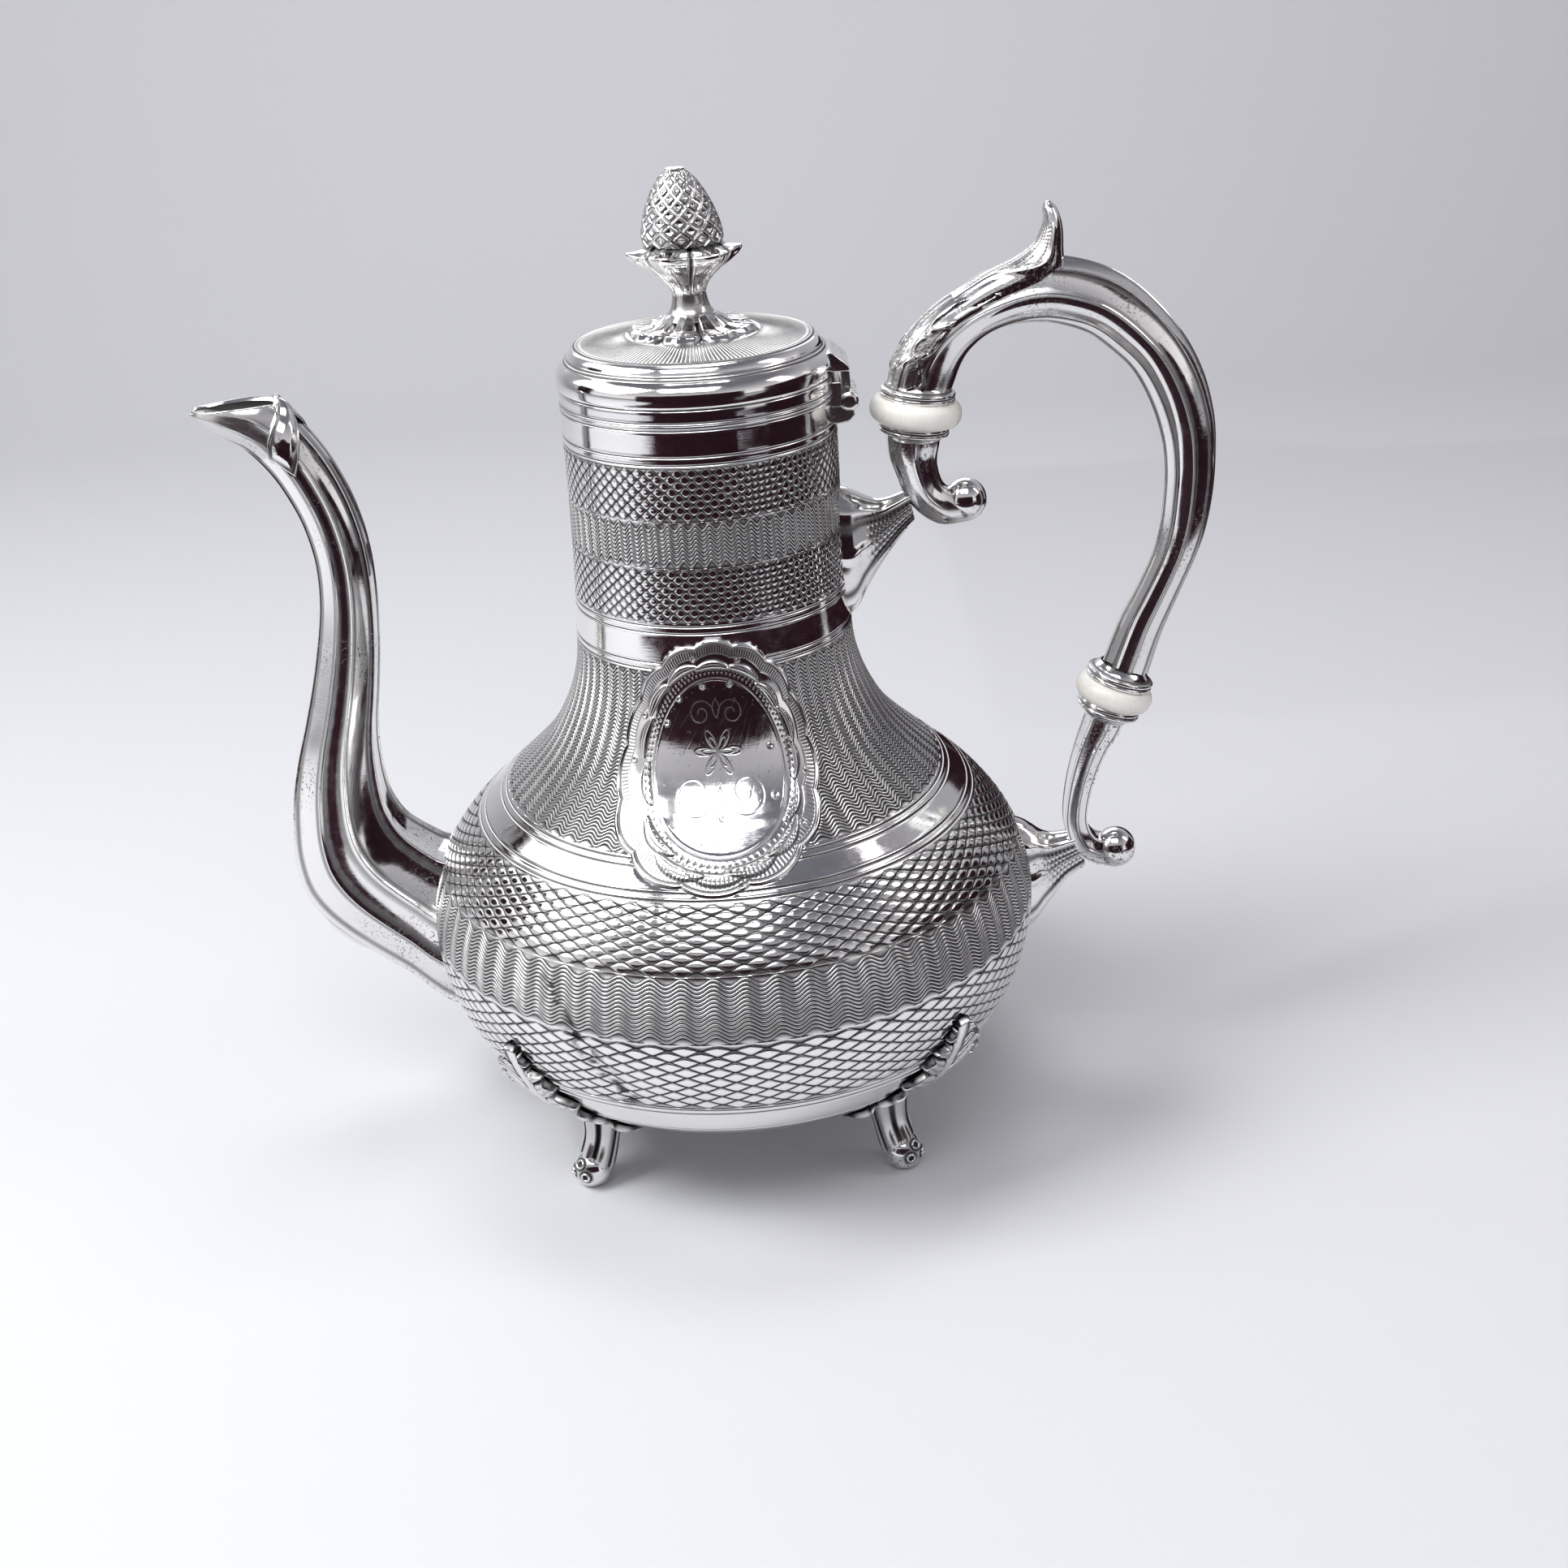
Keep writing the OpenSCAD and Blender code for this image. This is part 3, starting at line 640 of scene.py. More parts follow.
def build_panel():
    """The engraved oval: scalloped border, comb-cut band, crescents, beaded line and a plain ornament."""
    phi = circle(1000)[None, :]
    edge = panel_edge(phi)
    ornament = flourish()
    # middles of the crescents and of the small punched marks, [degrees round, height]
    crescents = [(0, 140.3), (12.5, 138.3), (21.5, 131.5), (26.6, 124), (26, 116.5), (22, 108.5),
                 (16.5, 101.8), (7, 97.9), (-2, 96.4), (-11.5, 98), (-18, 103), (-24.2, 113), (-27.2, 122.8), (-23.6, 132),
                 (-13, 138.6)]
    dots = np.stack([RNG.uniform(-13, 13, 70), RNG.uniform(-17, 17, 70)], 1)
    scratches = np.stack([RNG.uniform(-12, 12, 46), RNG.uniform(-16, 16, 46), RNG.uniform(0.85, 1.25, 46),
                          RNG.uniform(0.8, 4.5, 46)], 1)
    marks = [(-7.5, 141.8), (9.8, 141), (-28, 127.5), (29, 129), (-30, 117.5), (28.5, 113), (22, 104.5), (3.8, 95.4),
             (-13, 98.2), (-21, 106), (-18.7, 126.2), (-14, 132), (6, 135.2), (-4.5, 135), (18.6, 120), (16.6, 110)]
    rows = {"border": [[1.0, 0.992], np.linspace(0.985, 0.855, 26), np.linspace(0.847, 0.60, 40)],
            "field": [np.linspace(0.60, 0.08, 92), [0.05, 0.02, 0.001]]}
    for name, shares in rows.items():
        share = np.concatenate(shares)[:, None]
        u, v = share * edge * np.cos(phi), share * edge * np.sin(phi)
        z = PANEL_Z[0] + v * PANEL_Z[1]
        az = PANEL_AZ[0] + PANEL_LEAN * (z - PANEL_Z[0]) + u * PANEL_AZ[1]
        deg, x, y = np.degrees(az), np.degrees(az) * DEGREE, z - MIDDLE_Z
        lift, dirt = np.full(u.shape, 0.03), np.zeros(u.shape)

        def add(dh, dd=0.0):
            nonlocal lift, dirt
            lift, dirt = lift + dh, np.maximum(dirt, dd)

        add(-0.45 * (share > 0.9995))
        add(0.26 * bell(share - 0.974, 0.009))
        add(-0.16 * bell(share - 0.952, 0.007), bell(share - 0.952, 0.0075))
        teeth = 0.5 + 0.5 * np.cos(200 * phi)
        comb = smoothstep(0.868, 0.876, share) * smoothstep(0.946, 0.938, share)
        add(-0.1 * comb * teeth ** 2, 0.85 * comb * teeth ** 1.5)
        add(-0.08 * bell(share - 0.862, 0.005), 0.6 * bell(share - 0.862, 0.005))
        add(0, 0.55 * smoothstep(0.985, 0.999, share))
        for ca, cz in crescents:
            cx, cy = ca * DEGREE, cz - MIDDLE_Z
            out = math.atan2(cy / 20.5, cx / 15.8)
            along = -(x - cx) * math.sin(out) + (y - cy) * math.cos(out)
            side = (x - cx) * math.cos(out) + (y - cy) * math.sin(out) + 0.055 * along ** 2
            room = np.clip(1 - (along / 4.6) ** 2, 0, 1)
            gap = side / (1.05 * np.sqrt(room) + 0.02)
            body = np.clip(1 - gap ** 2, 0, 1) * (room > 0)
            add(0.5 * body ** 0.5, 0.95 * bell(np.abs(gap) - 1.12, 0.2) * (room > 0.02))
            add(-0.12 * bell(gap, 0.22) * (room > 0.1), 0.5 * bell(gap, 0.2) * (room > 0.1))
        q = np.hypot(deg / 24.2, (z - 118.5) / 20.0)
        turn = np.arctan2((z - 118.5) / 20.0, deg / 24.2)
        for ring, count in ((1.035, 96), (0.985, 88)):
            bead = bell(q - ring, 0.013) * smoothstep(-0.1, 0.7, np.cos(count * turn))
            add(-0.1 * bead, 0.95 * bead)
        add(-0.06 * bell(q - 0.925, 0.008), 0.75 * bell(q - 0.925, 0.009))
        add(0.07 * bell(q - 0.905, 0.01))
        if name == "field":
            line = near_curves(x, y, ornament)
            add(-0.045 * bell(line, 0.15), 0.5 * bell(line, 0.13))
            for sx, sy, way, length in scratches:
                reach = (x - sx) * math.cos(way) + (y - sy) * math.sin(way)
                across = (y - sy) * math.cos(way) - (x - sx) * math.sin(way)
                off = np.hypot(across, np.maximum(np.abs(reach) - length, 0))
                add(-0.008 * bell(off, 0.1), 0.14 * bell(off, 0.08))
        for dx, dy in dots:
            add(0, 0.8 * (np.hypot(x - dx, y - dy) < 0.16) * (q < 0.88))
        for ma, mz in marks:
            d = np.hypot(x - ma * DEGREE, z - mz)
            add(0.12 * bell(d - 0.55, 0.16) - 0.1 * bell(d, 0.3),
                0.9 * bell(d, 0.3) + 0.5 * bell(d - 0.85, 0.14))
        Build().grid(on_vessel(s_at(z), az, lift), wrap=True, dirt=dirt, flip=False).piece(
            f"panel_{name}", POT, SHEET, "silver_sheet")


# ---------------------------------------------------------------- hinge

def prism(outline, y0, y1, edge, hug=None):
    """Bar along Y of a convex [x, z] outline, with rounded edges.

    With hug, the neck's radius there, points nearer the axis than 33.2 follow the neck's curve.
    """
    o = np.asarray(outline, float)
    n = len(o)
    corner = []
    for i in range(n):
        a, b, c = o[i - 1], o[i], o[(i + 1) % n]
        ua, uc = (a - b) / np.linalg.norm(a - b), (c - b) / np.linalg.norm(c - b)
        k = min(edge * 1.3, 0.4 * np.linalg.norm(a - b), 0.4 * np.linalg.norm(c - b))
        for t in np.linspace(0, 1, 6):
            corner.append((1 - t) ** 2 * (b + ua * k) + 2 * t * (1 - t) * b + t ** 2 * (b + uc * k))
    ring = np.array(corner)
    mid = (ring.min(axis=0) + ring.max(axis=0)) / 2
    away = (ring - mid) / np.linalg.norm(ring - mid, axis=1)[:, None]
    ends = [(edge * (1 - math.cos(t)), edge * (1 - math.sin(t))) for t in np.linspace(0, math.pi / 2, 7)]
    rows = [(y0, None)] + [(y0 + a, b) for a, b in ends]
    rows += [(y1 - a, b) for a, b in ends[::-1]] + [(y1, None)]
    pts = []
    for y, inset in rows:
        p = mid + (ring - mid) * 0.01 if inset is None else ring - away * inset
        x = np.where(p[:, 0] < 33.2, p[:, 0] - 33 + math.sqrt(hug ** 2 - y * y), p[:, 0]) if hug else p[:, 0]
        pts.append(np.stack([x, np.full(len(x), y), p[:, 1]], 1))
    return np.array(pts)


def build_hinge():
    hx, hz, r, mid_half, half = 35.8, 194.2, 2.4, 3.0, 8.0

    def barrel(y0, y1, bulge=0.0):
        """Knuckle from y0 to y1 on the hinge's axis, its ends domed by bulge."""
        prof = spline([(0.02, y0 - bulge), (r - 1.0, y0 - bulge * 0.7), (r - 0.25, y0 + 0.05), (r, y0 + 0.35),
                       (r, y0 + 1), (r, y1 - 1), (r, y1 - 0.35), (r - 0.25, y1 - 0.05),
                       (r - 1.0, y1 + bulge * 0.7), (0.02, y1 + bulge)], 4)
        pts = lathe(prof, circle(64))
        return np.stack([pts[..., 0] + hx, pts[..., 2], pts[..., 1] + hz], -1)

    mount = [(32.6, 189), (35.8, 189.4), (37.2, 191.0), (36.8, 193.2), (32.6, 193.6)]
    strap = [(32.6, 193), (34.1, 193), (34.1, 199.1), (32.6, 199.1)]
    arm = [(34.4, 195), (36.6, 195), (36.3, 201.6), (34.4, 201.6)]
    tab = [(31.0, 201.45), (36.2, 201.45), (36.3, 202.4), (34.9, 203.9), (32.2, 206.0), (30.8, 206.2)]
    b = Build()
    b.grid(barrel(-half, -mid_half - 0.3, 0.5), wrap=True, dirt=0.1)
    b.grid(barrel(mid_half + 0.3, half, 0.5), wrap=True, dirt=0.1)
    b.grid(prism(mount, -half, half, 0.5, hug=33), wrap=True, dirt=0.15)
    b.grid(prism(strap, -half, half, 0.35, hug=33), wrap=True, dirt=0.2)
    b.piece("hinge_neck_leaf_cast", POT, CAST, "silver_cast", replaces=["hinge_neck_leaf"])
    b = Build()
    b.grid(barrel(-mid_half, mid_half), wrap=True, dirt=0.1)
    b.grid(prism(arm, -mid_half, mid_half, 0.3), wrap=True, dirt=0.3)
    b.grid(prism(tab, -half, half, 0.45), wrap=True, dirt=0.05)
    b.piece("hinge_lid_leaf_cast", LID, CAST, "silver_cast", replaces=["hinge_lid_leaf"])


# ---------------------------------------------------------------- swept castings

def ridge_gap(a, ridges):
    """Angle from a to the nearest ridge, in radians."""
    return np.abs(signed(np.asarray(a)[..., None] - np.radians(ridges))).min(axis=-1)


def ridge_angles(ridges):
    """Columns round a panelled section, crowded towards its ridges."""
    r = np.radians(ridges)
    share = np.array([0, .012, .03, .05, .08, .13, .22, .35, .5, .65, .78, .87, .92, .95, .97, .988])
    return np.concatenate([a + (b - a) * share for a, b in zip(r, np.append(r[1:], r[0] + TAU))])


def panelled(a, ridges, hollow=0.03, bead=0.02):
    """Radius of a section with slightly hollow panels between beaded ridges."""
    r = np.sort(np.radians(ridges) % TAU)
    a = np.asarray(a) % TAU
    i = np.searchsorted(r, a, side="right")
    ends = np.concatenate([[r[-1] - TAU], r, [r[0] + TAU]])
    lo, hi = ends[i], ends[i + 1]
    half, mid = (hi - lo) / 2, (hi + lo) / 2
    return (np.cos(half) / np.cos(a - mid) - hollow * (1 - ((a - mid) / half) ** 2) - bead
            + bead * bell(ridge_gap(a, ridges), 0.04))


def middle(st):
    """Centre line of paired stations, [x, z]."""
    return (st[:, 0:2] + st[:, 2:4]) / 2


def degrees_round(A):
    """Angles round a section in degrees, from its outer side, between -180 and 180."""
    return np.degrees(signed(A))


def sweep(stations, angles, steps, rho=1.0, lift=0.0, inset=0.0, span=None):
    """Skin through paired stations [outer x, outer z, inner x, inner z, half width along Y].

    rho and lift may be functions of (distance along, angle); angle 0 is the outer side and 270 the front.
    """
    st = spline(stations, steps)
    along = arc_length(middle(st))
    A = np.asarray(angles)
    if span is not None:
        pick = np.linspace(span[0], span[1], len(A))
        st = np.stack([np.interp(pick, along, st[:, i]) for i in range(5)], 1)
        along = pick
    mid, reach = middle(st), (st[:, 0:2] - st[:, 2:4]) / 2
    if A.ndim == 1:
        A = np.broadcast_to(A, (len(st), len(A)))
    S = np.broadcast_to(along[:, None], A.shape)
    size = np.maximum(np.linalg.norm(reach, axis=1), 1e-6)[:, None]
    k = rho(S, A) if callable(rho) else rho
    h = (lift(S, A) if callable(lift) else lift) - np.minimum(inset, 0.45 * size)
    x = mid[:, 0, None] + reach[:, 0, None] * np.cos(A) * (k + h / size)
    z = mid[:, 1, None] + reach[:, 1, None] * np.cos(A) * (k + h / size)
    y = (st[:, 4, None] * k + h) * np.sin(A)
    return np.stack([x, y, z], -1), S, A


def on_sweep(stations, steps, S, A, lift):
    """Single points of a sweep's skin, at distances S along it and angles A, raised by lift."""
    st = spline(stations, steps)
    along = arc_length(middle(st))
    ox, oz, ix, iz, half = (np.interp(S, along, st[:, i]) for i in range(5))
    size = np.hypot(ox - ix, oz - iz) / 2
    k = np.cos(A) * (1 + lift / size)
    return np.stack([(ox + ix) / 2 + (ox - ix) / 2 * k, (half + lift) * np.sin(A),
                     (oz + iz) / 2 + (oz - iz) / 2 * k], -1)


def scales(u, v, size):
    """Overlapping fish scales: 1 on each scale's crown, 0 in the gaps between."""
    row = np.floor(v / size)
    uu = (u / size + 0.5 * (row % 2)) % 1 - 0.5
    vv = v / size - row
    edge = np.hypot(uu * 1.7, vv - 0.1) / 0.95
    return np.clip(1 - edge ** 3, 0, 1)


SPOUT = [[-66, 33, -62, 82, 20], [-76, 34.6, -69, 82.5, 18.5], [-81.5, 38.4, -74.8, 83.2, 17],
         [-88, 44.6, -78.4, 85.3, 16], [-96, 50.6, -81.3, 87.7, 15], [-104, 57, -83.4, 90, 14],
         [-110, 63.2, -85.2, 93.5, 13.2], [-113.8, 70, -86.4, 97.6, 12.5], [-115.2, 78.7, -87, 102.5, 11.7],
         [-114.7, 88, -87.2, 107.5, 11], [-113.2, 97.5, -87.1, 112.5, 10.5], [-110.4, 107.7, -86.5, 118.7, 10],
         [-106.8, 118, -85.4, 125.5, 9.5], [-103.2, 129, -84.4, 132.5, 9.1], [-100.3, 139.5, -83.5, 140, 8.7],
         [-98, 150, -82.8, 150, 8.3], [-97.3, 160, -82.7, 160, 8], [-98.3, 168.1, -83.6, 169, 7.7],
         [-100.4, 175, -86, 178.6, 7.4], [-104.3, 183, -90, 188, 7.2], [-109.4, 189.3, -95.2, 195.6, 7],
         [-113.2, 192, -100.5, 200, 6.8], [-116.4, 194.5, -107, 201, 6.2], [-119.2, 196.9, -114, 201.2, 4.8],
         [-121.2, 198.4, -119.8, 200, 2.4]]
SPOUT_RIDGES = [-149, -107, -78, -33, 33, 78, 107, 149]
LIP_X, LIP_Z = -96, 199.4           # the spout is open beyond the one and above the other


def build_spout():
    steps = 10
    st = spline(SPOUT, steps)
    mid_z, reach_z = middle(st)[:, 1], (st[:, 1] - st[:, 3]) / 2
    lip = (reach_z < -0.3) & (st[:, 2] < LIP_X)
    open_from = np.where(lip, np.arccos(np.clip((LIP_Z - mid_z) / np.where(lip, reach_z, 1), -1, 1)), math.pi)
    cols = np.sort(signed(ridge_angles(SPOUT_RIDGES)))
    cols = np.concatenate([[-math.pi], cols[cols > -math.pi + 0.01], [math.pi]])
    A = np.clip(cols[None, :], -open_from[:, None], open_from[:, None])
    along = arc_length(middle(st))
    length = along[-1]

    def fade(S):
        """The panels' share of the section, dying out towards the lip."""
        return 1 - smoothstep(length - 24, length - 8, S)

    skin, S, _ = sweep(SPOUT, A, steps,
                       rho=lambda S, a: 1 + (panelled(a, SPOUT_RIDGES, 0.035, 0.03) - 1) * fade(S))
    swell = np.sin(math.pi * np.clip((along - length + 20) / 20, 0, 1))[:, None]

    def flare(points):
        """The lip's two sides stand up and out a little between its back and its tip."""
        high = np.clip(-np.cos(A), 0, 1)
        return points + np.stack([0 * A, 1.3 * np.sin(A) * swell * (0.35 + high), 1.6 * swell * high], -1)

    skin = flare(skin)
    gap = ridge_gap(A, SPOUT_RIDGES)
    # painted shadow: a dark line beside each ridge; the skin is also darkened a quarter over the last 24 mm before
    # the lip
    dirt = 0.9 * bell(gap - 0.085, 0.03) * fade(S) + 0.25 * (S > length - 24)
    keep = (A[:-1, 1:] - A[:-1, :-1] > 1e-6) | (A[1:, 1:] - A[1:, :-1] > 1e-6)
    keep &= outside_vessel((skin[:-1, 1:] + skin[1:, :-1]) / 2, 0.9)
    b = Build()
    b.grid(skin, dirt=dirt, keep=keep)
    bore = flare(sweep(SPOUT, A, steps, inset=1.3)[0])
    first = int(np.searchsorted(along, length - 60))
    # painted shade: the bore is darkened a little over half for the shade inside the spout
    b.grid(bore[first:], dirt=0.55, keep=keep[first:], inward=True)

    def rolled(o, n, rise, out=0.0):
        """Round edge from a point o of the skin over to a point n of the bore."""
        return [o + (n - o) * t + (np.array([0, 0, rise]) + (o - n) * out) * math.sin(math.pi * t)
                for t in np.linspace(0, 1, 7)]

    rows = np.where(open_from < math.pi - 1e-6)[0]
    rim = [rolled(skin[i, 0], bore[i, 0], 0.45, 0.25) for i in rows]
    rim += [rolled(skin[-1, j], bore[-1, j], 0.3)
            for j in range(1, len(cols) - 1) if abs(cols[j]) < open_from[-1]]
    rim += [rolled(skin[i, -1], bore[i, -1], 0.45, 0.25) for i in rows[::-1]]
    b.grid(np.array(rim), flip=True, dirt=0.05)
    b.piece("spout_skin", POT, CAST, "silver_cast", replaces=["spout"])

    # leaf across the back of the lip: its tip stands up on top and its ends hang to a point on each side
    lip = along[21 * steps]
    w, v = np.linspace(0, 1, 40)[:, None], np.linspace(-1, 1, 141)[None, :]
    front = np.interp(np.abs(v), [0, .1, .26, .55, .78, 1], [2.2, 0.6, -0.6, -2.9, -5.5, -10.1])
    rear = np.interp(np.abs(v), [0, .32, .7, 1], [-3.4, -7.3, -12.4, -16.5])
    S = lip + front + (rear - front) * w
    A = math.pi + np.radians(v * (115 - 20 * w))
    edge = np.minimum(np.minimum(w, 1 - w) * (front - rear), (1 - np.abs(v)) * 15)
    peak = 2.4 * bell(v, 0.1) * (1 - w) ** 1.5
    lift = (0.75 * smoothstep(0, 0.5, edge) + 0.6 * smoothstep(0.8, 3, edge)
            + 0.45 * bell(w * (front - rear) - 0.5, 0.4) + peak - 0.25)
    b = Build().grid(on_sweep(SPOUT, steps, S, A, lift),
                     dirt=np.clip(0.9 * bell(edge, 0.25) + 0.5 * bell(edge - 1.1, 0.35), 0, 1))
    # small drop where the panels meet at the outer foot of the spout
    t, v = np.linspace(0, 1, 40)[:, None], np.linspace(-1, 1, 31)[None, :]
    half = np.radians(26) * np.sin(math.pi * np.clip(t, 0.01, 0.99) ** 0.7)
    edge = np.minimum((1 - np.abs(v)) * half * 15, np.minimum(t, 1 - t) * 14)
    drop, _, _ = sweep(SPOUT, v * half + 0 * t, steps, span=(28, 44),
                       lift=lambda S, a: 1.3 * smoothstep(0, 3.5, edge) - 0.3)
    b.grid(drop, dirt=0.9 * bell(edge, 0.5))
    b.piece("spout_leaf", POT, CAST, "silver_cast")


HANDLE = [[44.9, 195.4, 60.8, 194, 7.5], [47, 202.3, 63.4, 200.4, 7.5], [52, 209.7, 66.3, 204.1, 7.4],
          [60, 216, 70.2, 206.7, 7.3], [70, 220.8, 75.1, 208.3, 7.2], [79.5, 223.6, 79.9, 208.7, 7.2],
          [88.5, 223.6, 85.6, 208.1, 7.2], [98.9, 220.2, 92.9, 205.6, 7.2], [107.5, 214.1, 99, 201, 7.1],
          [115.5, 205, 104.3, 195.6, 7], [121, 195, 108.6, 187.6, 6.8], [124.1, 184, 111.4, 179, 6.6],
          [124.8, 173.9, 112.4, 171, 6.4], [124.5, 165.2, 112.2, 163.8, 6.2], [123.3, 156.8, 111.6, 157, 6],
          [121.2, 149.2, 110.2, 150.8, 5.8], [118.3, 142, 108, 145.2, 5.6], [115.3, 134.8, 105, 139, 5.6],
          [112.6, 127.8, 101.8, 132.6, 5.7], [109.4, 116.8, 97.4, 120.8, 5.8]]
THUMB = [[61, 216.6, 66, 208, 6.4], [68.5, 220.9, 72, 211, 6.3], [76, 224.2, 80, 214, 6],
         [80.2, 227.2, 86.8, 219, 5.5], [82, 230.2, 87.3, 226.6, 4.8], [82.6, 232.8, 87, 231.2, 3.9],
         [82.5, 235, 85.8, 234.8, 2.7], [83, 236.4, 84.2, 236.6, 1]]
HANDLE_RIDGES = [-135, -90, -45, 0, 45, 90, 135, 180]


def build_handle():
    cols = ridge_angles(HANDLE_RIDGES)
    leaf_end = 46.0
    lobes = [(s, side * a, ls, la) for side in (-1, 1)
             for s, a, ls, la in ((4.5, 56, 4.6, 27), (13, 66, 4.8, 17), (22.5, 60, 8.0, 16), (9, 20, 5.0, 15))]

    def leaf(S, A):
        """Lift and dirt of the leaf chased on the handle's upper end."""
        a = degrees_round(A)
        lift, dirt = np.zeros_like(S), np.zeros_like(S)
        for s, c, ls, la in lobes:
            point = 1 - 0.55 * np.clip((S - s) / ls, -0.4, 1.2)
            e = np.hypot((S - s) / ls, (a - c - 0.7 * (S - s) * np.sign(c)) / (la * point))
            body = scales(S, np.radians(a) * 7 + 40, 0.95) * 0.16
            inner = smoothstep(0.95, 0.7, e)
            rim = bell(e - 0.92, 0.1)
            lift = np.maximum(lift, (0.2 + body) * inner + 0.6 * rim)
            dirt = np.maximum(dirt, inner * (1 - body / 0.16) * 0.6 * (1 - rim))
            dirt = np.maximum(dirt, 0.85 * bell(e - 1.12, 0.06))
        spine = smoothstep(26, 18, np.abs(a)) * smoothstep(13, 16, S) * smoothstep(leaf_end, leaf_end - 6, S)
        chain = scales(S, np.radians(a) * 7 + 40, 1.0)
        return lift + 0.14 * chain * spine, np.maximum(dirt, 0.6 * (1 - chain) * spine)

    def fade(S):
        """The panels' share of the section, weaker under the leaf."""
        return 0.35 + 0.65 * smoothstep(4, 40, S)

    dense = np.sort(np.concatenate([cols, np.radians(np.arange(-88, 88, 2.2)) % TAU]))
    skin, S, A = sweep(HANDLE, dense, 14, lift=lambda S, A: leaf(S, A)[0], inset=0.02,
                       rho=lambda S, A: 1 + (panelled(A, HANDLE_RIDGES, 0.03, 0.03) - 1) * fade(S))
    # the dark line beside each ridge is a painted shadow line; the leaf's own marks are tarnish in its chasing
    dirt = leaf(S, A)[1] + 0.85 * bell(ridge_gap(A, HANDLE_RIDGES) - 0.085, 0.03) * fade(S)
    Build().grid(skin, wrap=True, dirt=np.clip(dirt, 0, 1)).piece(
        "handle_arm", POT, CAST, "silver_cast", replaces=["handle"])


def build_thumb():
    """The leaf on top of the handle that the thumb presses against."""
    cols = circle(120)

    def leaf(S, A):
        a = degrees_round(A)
        chain = scales(S, np.radians(a) * 5 + 40, 1.05)
        side = 34 + 50 * smoothstep(8, 25, S)
        near = smoothstep(side - 6, side - 16, np.abs(a)) * smoothstep(1, 4, S)
        rim = bell(np.abs(a) - side, 7)
        return (near * (0.16 * chain - 0.3) + 0.35 * rim,
                near * (1 - chain) * 0.7 + 0.5 * bell(np.abs(a) - side + 13, 4))

    skin, S, A = sweep(THUMB, cols, 16, lift=lambda S, A: leaf(S, A)[0] * smoothstep(0, 3, 33 - S))
    tip = np.broadcast_to(skin[-1].mean(axis=0), (1, len(cols), 3))
    dirt = np.vstack([leaf(S, A)[1], np.zeros((1, len(cols)))])
    Build().grid(np.concatenate([skin, tip]), wrap=True, dirt=dirt).piece(
        "handle_thumb_leaf", POT, CAST, "silver_cast")


UPPER_SEAT, LOWER_SEAT = (52.0, 189.4, 7.6), (100.9, 113.3, 19.0)       # ring middles, x, z and tilt
RING_T = 6.0


def seat_turn(seat):
    tilt = math.radians(seat[2])
    return np.array([[math.cos(tilt), 0, math.sin(tilt), seat[0]], [0, 1, 0, 0],
                     [-math.sin(tilt), 0, math.cos(tilt), seat[1]], [0, 0, 0, 1]])


def build_rings():
    """The two white rings, each between a turned cap above and a cup below."""
    az, half = circle(128), RING_T / 2
    for name, seat, r, cap_r, cup_r in (
            ("upper", UPPER_SEAT, 11.2, 9.1, 8.6), ("lower", LOWER_SEAT, 10.0, 8.6, 8.2)):
        turn = seat_turn(seat)
        side = [(r - 2.4 + 2.4 * math.cos(a), half * math.sin(a))
                for a in np.linspace(-math.pi / 2, math.pi / 2, 25)]
        ring = np.array([(2.5, -half)] + side + [(2.5, half)])
        Build().grid(lathe(ring[::-1], az), wrap=True).piece(
            f"{name}_ring_turned", POT, IVORY, "white_ring", replaces=[f"{name}_ring"], turn=turn)
        for part, big, sign in (("cap", cap_r, 1), ("cup", cup_r, -1)):
            z = half * sign
            prof = [(2.5, 0.0), (big - 0.7, 0.0), (big - 0.2, 0.12), (big, 0.5), (big, 0.85),
                    (big - 0.28, 1.1), (big - 0.3, 1.3), (big, 1.55), (big, 2.0), (big - 0.25, 2.3), (big - 0.8, 2.4),
                    (big - 1.3, 2.7), (big - 1.7, 3.3), (big - 2.6, 4.2)]
            pts = spline([(radius, z + sign * up) for radius, up in prof], 3)
            away = np.abs(pts[:, 1] - z)
            shade = np.clip(bell(away - 1.2, 0.16) + 0.9 * bell(away - 2.6, 0.25), 0, 1)
            Build().grid(lathe(pts, az), wrap=True, dirt=shade[:, None]).piece(
                f"{name}_collar_{part}", POT, CAST, "silver_cast", turn=turn)


UPPER_HOOK = [[58.6, 183.4, 44, 185.2, 6.8], [58.3, 181, 44, 182.8, 6.6], [57.6, 177.8, 44.5, 178.6, 6.2],
              [57.8, 174.4, 46, 174, 5.8], [58.8, 171.4, 48, 169, 5.4], [60.4, 170, 51.4, 164.2, 5.1],
              [62, 169.6, 56.2, 160.9, 4.8], [63.4, 169.4, 61, 160.6, 4.6],
              [67.2, 167.6, 66.0, 161.7, 3.6], [68.8, 166.6, 68.5, 164.8, 1.5]]
UPPER_BRACKET = [[26, 173.5, 26, 137, 9.6], [33.5, 171.6, 34.8, 139, 9], [36.6, 170.3, 38.8, 145.6, 7.6],
                 [39.4, 168.9, 42, 150.8, 6.2], [42.2, 168, 45, 155, 5.2], [45, 168.4, 47.8, 158.6, 4.5],
                 [49.5, 170, 51, 162.2, 4]]
LOWER_HOOK = [[104.6, 106, 93.4, 110, 5.7], [103.4, 102.4, 92.2, 106, 5.5], [100.2, 97.4, 90.2, 99.4, 5],
              [97.2, 90, 88.3, 91, 4.6], [95.4, 82.4, 87.2, 82.4, 4.4], [95.4, 77, 87.3, 75.4, 4.3],
              [97.4, 73.6, 89.6, 68.6, 4.3], [99.8, 73, 94.4, 64.4, 4.3], [101.8, 72.6, 99.4, 63.2, 4.3],
              [105.6, 70.2, 104.4, 63.9, 3.4], [107.2, 69.2, 106.9, 67.2, 1.4]]
